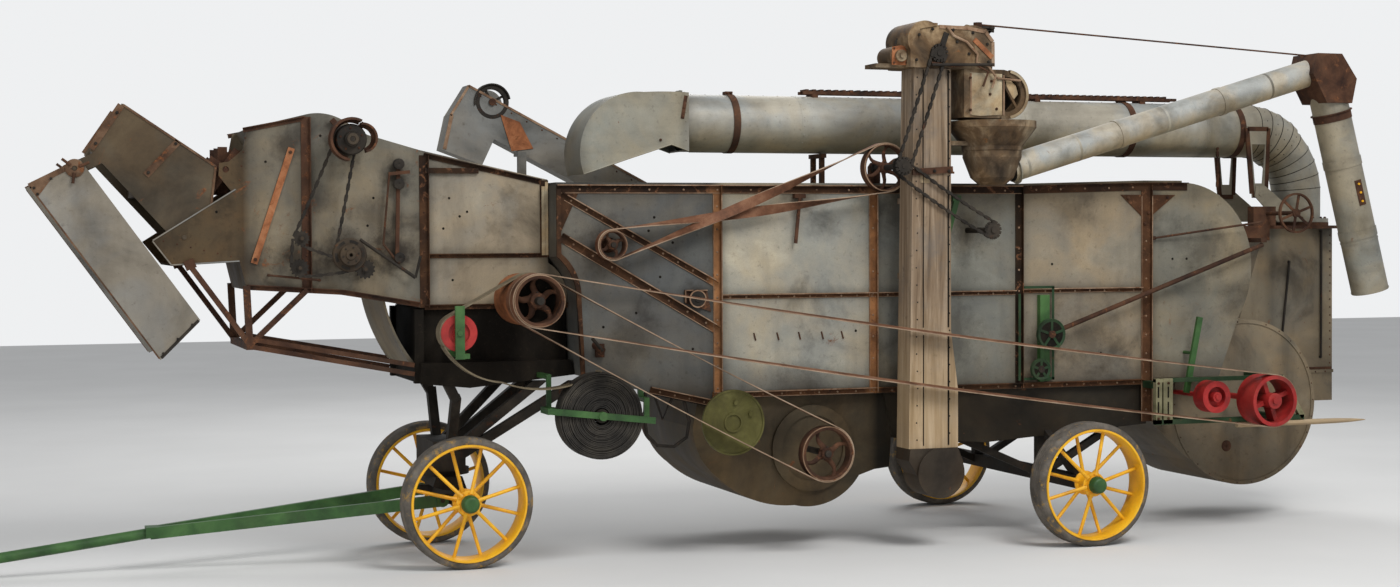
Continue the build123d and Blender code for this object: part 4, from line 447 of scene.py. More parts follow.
class Shape:
    """A mesh under construction: each call adds one closed form, with Y counted from base."""

    def __init__(self, base=0):
        self.bm = bmesh.new()
        self.base = base

    def at(self, x, y, z):
        return at(x, self.base + y, z)

    def rings(self, rings, mat=0, loop=False):
        """Skin over rings of points; mat may name the material of each side of a ring."""
        made = [[self.bm.verts.new(p) for p in ring] for ring in rings]
        count = len(made[0])
        for a, b in pairs(made + made[:1] if loop else made):
            for j in range(count):
                k = (j + 1) % count
                face = self.bm.faces.new((a[j], a[k], b[k], b[j]))
                face.material_index = mat[j] if isinstance(mat, tuple) else mat
        if not loop:
            for end in (made[0][::-1], made[-1]):
                self.bm.faces.new(end).material_index = mat

    def prism(self, rows, y0, y1, mat=0):
        """Outline of X and Z, from y0 to y1."""
        self.rings([[self.at(x, y, z) for x, z in rows] for y in (y0, y1)], mat)

    def block(self, x0, x1, y0, y1, z0, z1, mat=0):
        self.prism([(x0, z0), (x1, z0), (x1, z1), (x0, z1)], y0, y1, mat)

    def bar(self, start, end, wide, deep, mat=0):
        """Flat bar between two points, wide upright and deep across."""
        a, b = self.at(*start), self.at(*end)
        along = (b - a).normalized()
        up = Vector((0, 1, 0)).cross(along).normalized() * wide / 2000
        across = along.cross(up).normalized() * deep / 2000
        ring = [up + across, up - across, -up - across, across - up]
        self.rings([[a + r for r in ring], [b + r for r in ring]], mat)

    def bars(self, rows, y, wide, deep, mat=0):
        """Flat bars at one depth: rows of X and Z of both ends."""
        for x0, z0, x1, z1 in rows:
            self.bar((x0, y, z0), (x1, y, z1), wide, deep, mat)

    def pipe(self, points, radii, sides=10, mat=0, loop=False):
        """Round bar along points."""
        rings = []
        count = len(points)
        normal = None
        for i, p in enumerate(points):
            ahead = points[(i + 1) % count] if loop or i + 1 < count else p
            behind = points[i - 1] if loop or i else p
            along = (ahead - behind).normalized()
            if normal is None:
                normal = along.orthogonal()
            normal = (normal - along * normal.dot(along)).normalized()
            other = along.cross(normal)
            r = (radii[i] if isinstance(radii, list) else radii) / 1000
            rings.append([p + (normal * cos(a) + other * sin(a)) * r for a in turns(sides)])
        self.rings(rings, mat, loop)

    def rods(self, rows, sides=8, mat=0):
        """Straight round rods: rows of start, end and radius."""
        for start, end, radius in rows:
            self.pipe([self.at(*start), self.at(*end)], radius, sides, mat)

    def shaft(self, x, z, y0, y1, radius, sides=20, mat=1):
        self.rods([((x, y0, z), (x, y1, z), radius)], sides, mat)

    def wire(self, rows, y, radius, sides=8, mat=0):
        """Bent rod at one depth: rows of X and Z."""
        self.pipe([self.at(x, y, z) for x, z in rows], radius, sides, mat)

    def lathe(self, rows, centre, sides=48, mat=0, axis="Y"):
        """Turn rows of radius and height about an axis through a point."""
        rings = []
        for a in turns(sides):
            ring = []
            for r, h in rows:
                shift = [r * cos(a), r * sin(a)]
                shift.insert("XYZ".index(axis), h)
                ring.append(self.at(*(c + d for c, d in zip(centre, shift))))
            rings.append(ring)
        self.rings(rings, mat, loop=True)

    def collar(self, centre, along, rows, sides=40, mat=0):
        """Turn rows of radius and height about a slanting axis."""
        turn = along.to_track_quat("Z", "Y")
        rings = []
        for a in turns(sides):
            spoke = turn @ Vector((cos(a), sin(a), 0))
            rings.append([centre + spoke * r / 1000 + along * h / 1000 for r, h in rows])
        self.rings(rings, mat, loop=True)

    def rivet(self, x, y, z, radius=7, facing=(0, -1, 0), mat=0, high=0.55):
        """Round rivet head on a surface."""
        out = Vector(facing).normalized()
        side = out.orthogonal().normalized()
        other = out.cross(side)
        rings = []
        for share, lift in ((1.0, 0.0), (0.8, 0.6), (0.25, 1.0)):
            middle = self.at(x, y, z) + out * lift * high * radius / 1000
            r = radius * share / 1000
            rings.append([middle + (side * cos(a) + other * sin(a)) * r for a in turns(7)])
        self.rings(rings, mat)

    def rivets(self, spots, y, radius=7, side=-1, mat=0, high=0.55):
        """Rivets at X and Z on a wall that faces near, -1, or far, 1."""
        for x, z in spots:
            self.rivet(x, y, z, radius, (0, side, 0), mat, high)

    def bolt(self, x, y, z, radius=11, facing=(0, -1, 0), mat=0):
        """Hexagon bolt head with its shank's end."""
        out = Vector(facing).normalized()
        p = self.at(x, y, z)
        self.pipe([p - out * 0.001, p + out * radius * 0.0008], [radius, radius * 0.97], 6, mat)
        self.pipe([p, p + out * radius * 0.0012], [radius * 0.5, radius * 0.45], 8, mat)

    def bolts(self, spots, y, radius=11, side=-1, mat=0):
        """Bolts at X and Z on a wall that faces near, -1, or far, 1."""
        for x, z in spots:
            self.bolt(x, y, z, radius, (0, side, 0), mat)

    def piece(self, name, mats, body="machine", replaces=()):
        """Make the object and state its body and the nodes that it replaces."""
        bmesh.ops.recalc_face_normals(self.bm, faces=self.bm.faces)
        for face in self.bm.faces:
            face.smooth = True
        for edge in self.bm.edges:
            if len(edge.link_faces) == 2 and edge.calc_face_angle(0) > SHARP_EDGE:
                edge.smooth = False
        data = bpy.data.meshes.new(name)
        self.bm.to_mesh(data)
        self.bm.free()
        for material in mats:
            data.materials.append(material)
        made = bpy.data.objects.new(name, data)
        bpy.context.scene.collection.objects.link(made)
        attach(made, body)
        if replaces:
            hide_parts(*replaces)


def polar(x, z, r, angle):
    """X and Z at a radius and an angle from a point."""
    return x + r * cos(angle), z + r * sin(angle)


def dots(x0, z0, x1, z1, step):
    """Evenly spaced spots between two points of X and Z."""
    count = max(1, round(hypot(x1 - x0, z1 - z0) / step))
    shares = [(i + 0.5) / count for i in range(count)]
    return [(x0 + (x1 - x0) * share, z0 + (z1 - z0) * share) for share in shares]


# Wheels

def wheel_piece(name, x, y, body):
    """Spoked wheel: dished rim with beads, round spokes, turned hub and green cap."""
    s = Shape(y)
    outward = -1 if y < 0 else 1
    centre = (x, 0, WHEEL_Z)
    half = [(386, 90), (384, 96.5), (372, 96.5), (366, 84), (361, 60)]
    s.lathe(half + [(360, 0)] + [(r, -h) for r, h in half[::-1]], centre, 96)
    hub_face = 66
    hub = [(12, -95), (52, -95), (60, -88), (60, -66), (74, -66), (84, -63), (84, -53), (78, -50), (60, -48),
           (56, -30), (56, 30), (60, 48), (78, 50), (84, 53), (84, 63), (74, 66), (60, 66), (60, 92),
           (56, 95), (12, 95)]
    cap = [(0.5, 157), (38, 156), (48, 151), (54, 141), (56, 120), (60, 108), (60, 93), (0.5, 93)]
    cap_face = [(0.5, 157), (34, 156.6), (36, 153), (30, 152), (0.5, 152)]
    for rows, sides, mat in ((hub, 40, 0), (cap, 40, 1), (cap_face, 32, 1)):
        s.lathe([(r, outward * h) for r, h in rows], centre, sides, mat)
    for turn, angle in enumerate(turns(12, pi / 12)):
        side = 1 if turn % 2 else -1
        ends = []
        for r, out in ((62, 58), (373, 22)):
            end_x, end_z = polar(x, WHEEL_Z, r, angle)
            ends.append(s.at(end_x, side * out, end_z))
        points = [ends[0].lerp(ends[1], share) for share in (0, 0.05, 0.11, 0.9, 0.955, 0.96, 1)]
        s.pipe(points, [19, 18, 13, 12, 12.5, 17, 17], 14)
        s.bolts([polar(x, WHEEL_Z, 72, angle + 0.26)], outward * hub_face, 7, outward)
    s.piece(name, [yellow, green], body, replaces=(name.replace("dressed_", ""),))


def tyre_piece(name, x, y, body):
    """Narrow solid tyre with rounded shoulders and low ribs."""
    s = Shape(y)
    shoulder = [(429, 64), (426, 76), (418, 84), (404, 89), (392, 90), (386, 88)]
    rows = [(r, -h) for r, h in shoulder[::-1]]
    for rib in (-54, -27, 0, 27, 54):
        rows += [(430, rib - 8), (430, rib + 8), (427.5, rib + 10), (427.5, rib + 17)]
    s.lathe(rows[:-2] + shoulder, (x, 0, WHEEL_Z), 96)
    s.piece(name, [tyre_rubber], body, replaces=(name.replace("dressed_", ""),))


for name, x, y, body in (("front_near", 0, -613, "wheel_fn"), ("front_far", 0, 613, "wheel_ff"),
                         ("rear_near", 4283, -1195, "wheel_rn"), ("rear_far", 4283, 1195, "wheel_rf")):
    wheel_piece("dressed_wheel_" + name, x, y, body)
    tyre_piece("dressed_tyre_" + name, x, y, body)


# Belts

def touch(x0, z0, r0, x1, z1, r1, side, crossed=False):
    """Angles at which a belt leaves one wheel and meets the other."""
    far = -r1 if crossed else r1
    lean = asin((r0 - far) / hypot(x1 - x0, z1 - z0))
    angle = atan2(z1 - z0, x1 - x0) + side * (pi / 2 - lean)
    return angle, angle + (pi if crossed else 0)


def belt(s, x0, z0, r0, x1, z1, r1, low, high, crossed=False, roll=0.0):
    """Flat belt round two wheels with a slight sag and roll, and a half twist in each crossed run."""
    thick, clear = 7.0, 0.6
    slack, side_step = 0.006, 0.022
    wrap_steps, run_steps, way_back = 28, 36, 60
    centre_y, half = (low + high) / 2, (high - low) / 2
    r0, r1 = r0 + clear + thick / 2, r1 + clear + thick / 2
    up0, up1 = touch(x0, z0, r0, x1, z1, r1, 1, crossed)
    down0, down1 = touch(x0, z0, r0, x1, z1, r1, -1, crossed)
    way = -1 if crossed else 1
    while down0 < up0:
        down0 += 2 * pi
    while (up1 - down1) * way < 0:
        up1 += 2 * pi * way
    stations = []

    def on(x, z, r, angle, flip=1):
        out = Vector((cos(angle), 0, sin(angle)))
        return s.at(x, centre_y, z) + out * r / 1000, out, Vector((0, flip, 0))

    def wrap(x, z, r, start, end, flip=1):
        shares = [i / wrap_steps for i in range(wrap_steps + 1)]
        stations.extend(on(x, z, r, start + (end - start) * share, flip) for share in shares)

    def run(first, last):
        """Free run; the crossed runs part sideways, out on the near side and back on the far side."""
        a, b = first[0], last[0]
        along = (b - a).normalized()
        for i in range(1, run_steps):
            share = i / run_steps
            swell = sin(pi * share)
            sag = Vector((0, 0, -slack * swell * (b - a).length))
            lean = radians(roll) * swell * (1 if along.x > 0 else -1)
            twist = pi * (3 * share ** 2 - 2 * share ** 3) if crossed else lean
            turn = Matrix.Rotation(twist, 3, along)
            apart = (side_step if crossed else 0) * swell * (1 if len(stations) > way_back else -1)
            middle = a.lerp(b, share) + sag + Vector((0, apart, 0))
            stations.append((middle, turn @ first[1], turn @ first[2]))

    wrap(x0, z0, r0, up0, down0)
    run(on(x0, z0, r0, down0), on(x1, z1, r1, down1))
    wrap(x1, z1, r1, down1, up1, way)
    run(on(x1, z1, r1, up1, way), on(x0, z0, r0, up0))
    rings = []
    for p, out, across in stations:
        a = across.normalized() * half / 1000
        o = out.normalized() * thick / 2000
        rings.append([p - a - o, p + a - o, p + a + o, p - a + o])
    # Sides 1 and 3 are the narrow edges, in the lighter tone that paints a highlight on them.
    s.rings(rings, (0, 1, 0, 1), loop=True)


def belts():
    s = Shape()
    belt(s, *MAIN, 169, *STRAW_FAN, 186, -1104, -1026, roll=11)
    belt(s, *MAIN, 169, *LOW, 186, -1010, -934, roll=5)
    belt(s, *WALL, 98, *TOP, 165, -785, -715, crossed=True)
    s.piece("dressed_belts", [leather, belt_edge_highlight], replaces=("leather_belts",))


def pulley(s, x, z, radius, y0, y1, wall, arms, hub, shaft, tip, mats=(0, 1, 2)):
    """Crowned rim with a light front edge that is painted highlight, bent tapering arms, hub and shaft end.
    """
    middle = (y0 + y1) / 2
    inner = radius - wall
    centre = (x, 0, z)
    s.lathe([(inner, y0 + 2), (inner + 3, y0), (radius - 3, y0), (radius - 0.6, y0 + 3), (radius, middle),
             (radius - 0.6, y1 - 3), (radius - 3, y1), (inner, y1), (inner - 3, middle)], centre, 72, mats[0])
    # Light ring at the rim's front edge: painted highlight.
    s.lathe([(radius - 7, y0 - 1), (radius - 1.5, y0 - 1), (radius - 0.3, y0 + 4), (radius - 7, y0 + 4)],
            centre, 72, mats[2])
    reach = min(50, (y1 - y0) / 2 - 4)
    s.lathe([(shaft, middle - reach), (hub - 5, middle - reach), (hub, middle - reach + 6),
             (hub, middle + reach), (shaft, middle + reach)], centre, 32, mats[0])
    s.lathe([(2, tip - 2), (shaft - 2, tip - 2), (shaft, tip + 3), (shaft, middle), (2, middle)],
            centre, 24, mats[1])
    s.bolt(x, middle - reach * 0.6, z + hub, 8, (0, 0, 1), mats[1])
    last = 7
    for angle in turns(arms, 0.35):
        rings = []
        for i in range(last + 1):
            share = i / last
            a = angle + 0.22 * sin(pi * share)
            arm_x, arm_z = polar(x, z, hub - 6 + (inner + 4 - hub) * share, a)
            wide = hub * (0.5 - 0.2 * share + (0.25 if i in (0, last) else 0))
            deep = wide * 0.6
            ring = []
            for b in turns(10):
                side = wide * cos(b)
                ring.append(s.at(arm_x - side * sin(a), middle + deep * sin(b), arm_z + side * cos(a)))
            rings.append(ring)
        s.rings(rings, mats[0])


def pulleys():
    """Main double pulley and the other rusty pulleys, with their shafts and bearings."""
    s = Shape()
    # Columns: place, radius, Y of both faces, wall, arms, hub, shaft, Y of the shaft's end, materials
    for spot, *sizes in ((MAIN, 169, -1112, -922, 26, 5, 50, 26, -1130),
                         (MAIN, 169, -918, -562, 22, 5, 52, 26, -920, (3, 1, 2)),
                         (LOW, 186, -1012, -930, 26, 4, 42, 24, -1020),
                         (WALL, 98, -790, -710, 15, 4, 32, 18, -800),
                         (TOP, 165, -790, -710, 14, 6, 34, 20, -1085),
                         (FAR_SIDE, 200, 760, 840, 18, 4, 40, 22, 745)):
        pulley(s, *spot, *sizes)
    s.lathe([(52, -975), (143, -965), (143, -957), (52, -957)], (MAIN[0], 0, MAIN[1]), mat=4)
    s.lathe([(20, -720), (44, -720), (50, -700), (50, -641), (20, -641)], (WALL[0], 0, WALL[1]), 28)
    s.prism([(2885, 2525), (2965, 2525), (2965, 2640), (2945, 2670), (2905, 2670), (2885, 2640)], -600, -560)
    for spot, y0, y1, radius, sides in ((MAIN, -925, -420, 26, 24), (LOW, -935, -590, 22, 20),
                                        (WALL, -715, -641, 18, 20), (TOP, -712, -562, 20, 20),
                                        (TOP, -612, -600, 34, 20), (FAR_SIDE, 600, 856, 22, 20)):
        s.shaft(*spot, y0, y1, radius, sides)
    s.piece("dressed_pulleys", [rusty, dark, rust_and_edge_highlight, copper_rust, void], replaces=("rusty_pulleys",))


def coil():
    """Spare belt rolled up on its reel, turn upon turn."""
    s = Shape(SIDE)
    x, z = 840, 990
    rounds, steps = 22, 52
    pitch, thick = 10.4, 7.6
    rings = []
    for i in range(rounds * steps + 1):
        turn = i / steps
        angle = turn * 2 * pi
        wave = 1.2 * sin(angle * 3.1 + turn)
        edge = -260 + 3.5 * sin(turn * 2.7) + 2.0 * sin(angle + turn * 1.3)
        inner = 52 + pitch * turn + wave
        ring = []
        for r, y in ((inner, edge), (inner + thick, edge), (inner + thick, -130), (inner, -130)):
            ring.append(s.at(x + r * cos(angle), y, z + r * sin(angle)))
        rings.append(ring)
    s.rings(rings)
    s.lathe([(31, -262), (46, -262), (46, -128), (31, -128)], (x, 0, z), 32, 1)
    s.lathe([(47, -134), (284, -134), (284, -128), (47, -128)], (x, 0, z), 64, 1)
    s.piece("dressed_belt_roll", [rubber, dark], replaces=("belt_roll",))


belts()
pulleys()
coil()


# Rivets along the frame

def frame_bolts():
    """Rivet heads and edges of the angle irons of both walls, in a light tone that paints a highlight on
    them.
    """
    s = Shape()
    # Columns: X and Z of one end, X and Z of the other, spacing
    rows = [(1736, 2440, 1736, 1050, 150), (2890, 2440, 2890, 1080, 150), (4030, 2440, 4030, 1080, 150),
            (5075, 2180, 5075, 810, 140), (660, 2430, 1720, 1842, 120), (660, 2150, 1720, 1538, 150),
            (1770, 1746, 4000, 1746, 120), (4060, 1756, 5030, 1756, 120), (1270, 1127, 1690, 1028, 110),
            (1720, 1080, 5040, 1080, 140), (650, 2475, 4040, 2478, 240), (4070, 2482, 5060, 2506, 200)]
    house_rows = [(-228, 2650, -228, 1740, 130), (-180, 2040, 590, 2040, 110), (-200, 1704, 720, 1704, 110),
                  (582, 2520, 582, 2060, 110), (-995, 2900, -995, 1850, 140), (-1360, 1846, -780, 1812, 120),
                  (-740, 1804, -280, 1724, 120)]
    # Columns: X and Z of one end, X and Z of the other, width of the angle iron
    irons = [(612, 2478, 4050, 2483, 58), (1736, 2440, 1736, 1045, 58), (2890, 2440, 2890, 1075, 58),
             (5075, 2440, 5075, 795, 80), (672, 2421, 1710, 1848, 44), (680, 2136, 1710, 1540, 60),
             (1764, 1750, 4000, 1750, 34), (4056, 1760, 5036, 1760, 34), (1254, 1132, 1700, 1030, 46),
             (1700, 1083, 2900, 1083, 42)]
    corners = [(630, 2420), (630, 2250), (700, 2430), (4920, 2430), (5090, 2320), (5250, 2430), (5060, 2240)]
    for side in (-1, 1):
        for x0, z0, x1, z1, wide in irons:
            share = (wide / 2 - 3) / hypot(x1 - x0, z1 - z0)
            nx, nz = (z0 - z1) * share, (x1 - x0) * share
            # Light strips along both edges of each iron: painted highlight.
            s.bars([(x0 + nx, z0 + nz, x1 + nx, z1 + nz)], side * 665.5, 7, 3, 1)
            s.bars([(x0 - nx, z0 - nz, x1 - nx, z1 - nz)], side * 641.5, 4, 2, 1)
        for row in rows:
            # Rivet heads in the light tone: painted highlight.
            s.rivets(dots(*row), side * 641, 8, side, 1)
        s.bolts(corners, side * 641.5, 12, side)
        for row in house_rows:
            s.rivets(dots(*row), side * 426, 7, side)
    s.piece("frame_rivets", [rusty, rust_and_edge_highlight])


frame_bolts()


# Chains and sprockets

def chain(s, x0, z0, x1, z1, y, pitch=36, wide=15, sag=0.012, mat=0):
    """Link chain between two points: side plates and pins."""
    length = hypot(x1 - x0, z1 - z0)
    count = max(1, round(length / pitch))
    spots = []
    for i in range(count + 1):
        share = i / count
        hang = sag * length * 4 * share * (1 - share)
        spots.append((x0 + (x1 - x0) * share, z0 + (z1 - z0) * share - hang))
    for i, (a, b) in enumerate(pairs(spots)):
        half, high = (wide / 2, 21) if i % 2 else (wide / 2 - 4, 13)
        for side in (-1, 1):
            s.bars([a + b], y + side * half, high, 4.5, mat)
        s.shaft(*a, y - wide / 2 - 3, y + wide / 2 + 3, 9.5, 8, mat)


def sprocket(s, x, z, radius, y0, y1, teeth, mat=0):
    """Toothed plate: each tooth rises from its root to its tip and falls again."""
    rows = []
    for i in range(teeth):
        for share, lift in ((0.0, -7), (0.22, -6), (0.4, 3), (0.6, 3), (0.78, -6)):
            rows.append(polar(x, z, radius + lift, 2 * pi * (i + share) / teeth))
    s.prism(rows, y0, y1, mat)


def arc_band(s, x, z, r0, r1, y0, y1, start, end, steps=20, mat=0):
    """Part of a ring across the machine, between two angles in degrees."""
    rings = []
    for i in range(steps + 1):
        angle = radians(start + (end - start) * i / steps)
        inner, outer = polar(x, z, r0, angle), polar(x, z, r1, angle)
        corners = ((inner, y0), (outer, y0), (outer, y1), (inner, y1))
        rings.append([s.at(spot[0], y, spot[1]) for spot, y in corners])
    s.rings(rings, mat)


def spread(s, x, z, r0, r1, y, angles, wide, deep, mat=0):
    """Flat spokes at one depth, from one radius to another."""
    s.bars([polar(x, z, r0, angle) + polar(x, z, r1, angle) for angle in angles], y, wide, deep, mat)


def feeder_works():
    """Governor, sprockets, slotted disc, chains and spools on the near feeder wall."""
    s = Shape(FEED)
    x, z = -735, 2790
    for x0, z0, r0, r1, y, start, end in (
            (x, z, 124, 140, -250, 62, 262), (x, z, 108, 124, -170, 62, 262),
            (x + 70, z + 10, 84, 98, -225, -75, 95), (x + 70, z + 10, 66, 84, -165, -75, 95)):
        arc_band(s, x0, z0, r0, r1, y, -150, start, end)
    s.lathe([(2, -270), (16, -270), (18, -262), (18, -252), (44, -250), (50, -240), (50, -215), (92, -210),
             (100, -200), (100, -40), (92, -34), (18, -30), (18, -1), (2, -1)], (x, 0, z), mat=1)
    s.lathe([(18, -272), (36, -272), (38, -262), (26, -256), (18, -256)], (x, 0, z), 28, 2)
    s.bolts([polar(x, z, 72, angle) for angle in turns(5, 0.4)], -209, 9)
    s.bars([(x, z + 22, x - 95, z + 135), (x, z + 22, x + 115, z + 110)], -24, 34, 20)
    x, z = -740, 2052
    s.lathe([(12, -190), (30, -190), (34, -182), (66, -182), (70, -176), (70, -132), (12, -132)],
            (x, 0, z), mat=2)
    s.lathe([(70, -138), (104, -138), (110, -132), (110, -110), (20, -110), (20, -132), (70, -132)],
            (x, 0, z), mat=2)
    for angle in turns(6, 0.2):
        arc_band(s, x, z, 78, 96, -139.5, -137, degrees(angle) - 19, degrees(angle) + 19, 6, 1)
        s.bolts([polar(x, z, 50, angle)], -182, 6, mat=1)
    for x, z, r, boss in ((x, z, 106, 57), (-1058, 1971, 58, 19), (-1044, 2160, 50, 19),
                          (-640, 1960, 62, 19)):
        sprocket(s, x, z, r, -130, -112, 24 if r > 90 else 14, 1)
        s.shaft(x, z, -150, 0, boss)
        s.shaft(x, z, -156, -140, 12, 12, 2)
    for row in ((-838, 2760, -1092, 2172), (-706, 2692, -818, 2118), (-1100, 2150, -1114, 1975),
                (-1056, 1915, -745, 1945), (-1040, 2112, -842, 2040)):
        chain(s, *row, -121, mat=1)
    s.bars([(-400, 2660, -415, 1980)], -30, 24, 18)
    s.bars([(-330, 2590, -470, 2575)], -52, 22, 16)
    s.rods([((-465, -52, 2570), (-505, -40, 2120), 7), ((-505, -40, 2120), (-420, -40, 2010), 8)])
    s.rods([((-660, -60, 2150), (-300, -60, 1900), 11), ((-300, -60, 1900), (-265, -60, 2040), 9)], mat=1)
    spool = [(10, -74), (20, -74), (34, -70), (36, -62), (22, -58), (22, -34), (36, -30), (34, -22),
             (12, -20), (12, 0), (2, 0), (2, -70)]
    for z in (2640, 2510, 2030):
        s.lathe(spool, (-402, 0, z), 28, 1)
    low, high = (-1240, -50, 1925), (-920, -50, 1890)
    s.rods([(low, high, 7), (low, (-1240, 0, 1925), 9), (high, (-920, 0, 1890), 9)])
    s.piece("feeder_works", [rusty, dark, dull_sheet], replaces=("feeder_drive",))


def elevator_chains():
    """Link chains and sprockets of the grain elevator drive."""
    s = Shape(SIDE)
    low, high = -387, -440
    s.shaft(*AUGER, low - 20, 0, 20, mat=0)
    s.shaft(*WEIGHER, high - 15, high + 14, 20, mat=0)
    for spot, radius, y, teeth in ((AUGER, 55, low, 14), (TOP, 60, low, 14), (WEIGHER, 52, high, 13),
                                   (TOP, 52, high, 13)):
        sprocket(s, *spot, radius, y - 9, y + 9, teeth)
        # Links that lie round the sprocket
        for angle in turns(13):
            s.bars([polar(*spot, 58, angle) + polar(*spot, 58, angle + 0.36)], y, 13, 14)
    for spot, r0, r1, y, sag in ((AUGER, 56, 55, low, 0.02), (WEIGHER, 50, 50, high, 0.01)):
        for side in (-1, 1):
            a, b = touch(*TOP, r0, *spot, r1, side)
            chain(s, *polar(*TOP, r0, a), *polar(*spot, r1, b), y, 34, 14, sag)
    s.piece("elevator_link_chains", [dark], replaces=("drive_chains",))


def head_works():
    """Fittings of the elevator head, the weigher and the leg."""
    s = Shape(SIDE)
    face = -425
    rim = [(3196, 3580), (3406, 3576), (3546, 3554), (3602, 3488), (3604, 3318)]
    # Light strip along the head's rim: painted highlight.
    s.bars([a + b for a, b in pairs(rim)], face - 3, 24, 6, 4)
    s.wire([(3250, 3580), (3300, 3520), (3400, 3480), (3480, 3400), (3470, 3340), (3560, 3322), (3618, 3250),
            (3590, 3170)], face - 14, 9, mat=4)
    s.wire([(3130, 3332), (3300, 3312), (3460, 3330), (3560, 3280), (3520, 3180)], face - 18, 8)
    s.rods([((3130, face - 26, 3318), (3600, face - 26, 3330), 10)], 10, 1)
    s.bars([(3460, 3500, 3596, 3380)], face - 4, 34, 8, 5)
    s.bars([(3200, 3400, 3250, 3540)], face - 4, 40, 8, 1)
    s.bolts([(3040, 3520), (3140, 3560), (3020, 3350)], face - 12, mat=1)
    s.bolts([(3300, 3560), (3450, 3545), (3560, 3470), (3570, 3350), (3330, 3480), (3420, 3400)], face, mat=1)
    s.prism([(2868, 3318), (2990, 3318), (2990, 3440), (2936, 3452), (2872, 3440)], -372, -365.4, 5)
    s.bolts([(2884, 3334), (2976, 3334), (2976, 3430), (2884, 3430)], -372, 8)
    s.rods([((2910, -330, 3448), (2926, -330, 3500), 7)], mat=1)
    face = -405
    s.prism([(3684, 2990), (3684, 3270), (3440, 3276), (3436, 2986), (3520, 2980)], face - 3, face - 0.4, 2)
    arc_band(s, 3716, 3130, 150, 168, face - 14, face - 12.2, -80, 80, 20, 2)
    s.prism([(3700, 3014), (3745, 3016), (3806, 3080), (3826, 3134), (3800, 3200), (3745, 3246),
             (3700, 3246)], face + 84, face + 89, 3)
    s.prism([(3716, 3240), (3745, 3238), (3796, 3190), (3812, 3134), (3782, 3100), (3730, 3160)],
            face + 8, face + 13, 2)
    # Light strips along both edges of the weigher plate: painted highlight.
    s.bars([(3694, 2985, 3694, 3262)], face - 6, 12, 10, 4)
    s.bars([(3444, 2990, 3444, 3272)], face - 5, 10, 6, 4)
    s.rods([((3640, face - 10, 3240), (3820, face - 16, 3226), 8)], mat=4)
    s.bolts([(3440, 3240), (3440, 3020), (3600, 3220), (3640, 3030), (3590, 3130)], face - 3, 10)
    leg = -365
    s.bars([(3020, 2592, 3322, 2612)], leg - 8, 44, 16)
    s.bar((3316, leg - 8, 2590), (3316, leg + 180, 2610), 40, 14)
    s.block(3080, 3150, leg - 5, leg, 2520, 2570, 2)
    s.bolts([(x, 2600) for x in (3060, 3180, 3290)], leg - 16, 12, mat=1)
    for z0, z1 in ((2620, 3290), (1530, 2570), (720, 1480)):
        s.bars([(3292, z0, 3292, z1)], leg - 3, 9, 6, 3)
        s.bars([(3102, z0, 3104, z1)], leg - 3, 5, 5, 3)
    for z in range(760, 3260, 118):
        s.rivets([(3056 + 5 * sin(z), z), (3302, z + 40)], leg, 6, mat=1)
    s.piece("elevator_fittings", [rusty, dark, tan, void, rust_and_edge_highlight, copper_rust])


feeder_works()
elevator_chains()
head_works()


# Straw pipe, bend, hood and loader

def band_rows(radius, wide, high):
    """Section of a flat band round a pipe: radius and height."""
    half = wide / 2
    return [(radius, -half), (radius + high, -half), (radius + high, half), (radius, half)]


def pipe_seams():
    """Lap seams, rivets, straps and end frame of the straw pipe."""
    s = Shape()

    def hoop(x, radius, wide, high, mat=0):
        s.lathe(band_rows(radius, wide, high), (x, 0, PIPE_Z), 72, mat, "X")

    for x in (2560, 3450, 4340, 5900):
        hoop(x, PIPE_R, 34, 2.5)
        for a in turns(20, 0.1):
            s.rivet(x, 205 * cos(a), PIPE_Z + 205 * sin(a), 5, (0, cos(a), sin(a)))
    for x in (2050, 5245, 6200):
        hoop(x, 207, 50, 4, 1)
        s.block(x - 26, x + 26, -34, 34, PIPE_Z + 205, PIPE_Z + 228, 1)
        s.rods([((x + out, -52, 3180), (x + out, 52, 3180), 7) for out in (-14, 14)], mat=1)
    for x in range(1760, 6180, 110):
        s.rivet(x, -30, PIPE_Z + 201, 5, (0, -0.15, 1))
    s.bars([(1760, PIPE_Z - 204, 6180, PIPE_Z - 204)], 0, 4, 24)
    for y in (-219, 219):
        s.bars([(6220, 2975, 6268, 2470), (6270, 2455, 6390, 2455), (6392, 2470, 6412, 2975),
                (6225, 2968, 6410, 2968)], y, 34, 16.4, 1)
    s.piece("pipe_seams", [galvanised_pipe, rusty], "stacker")


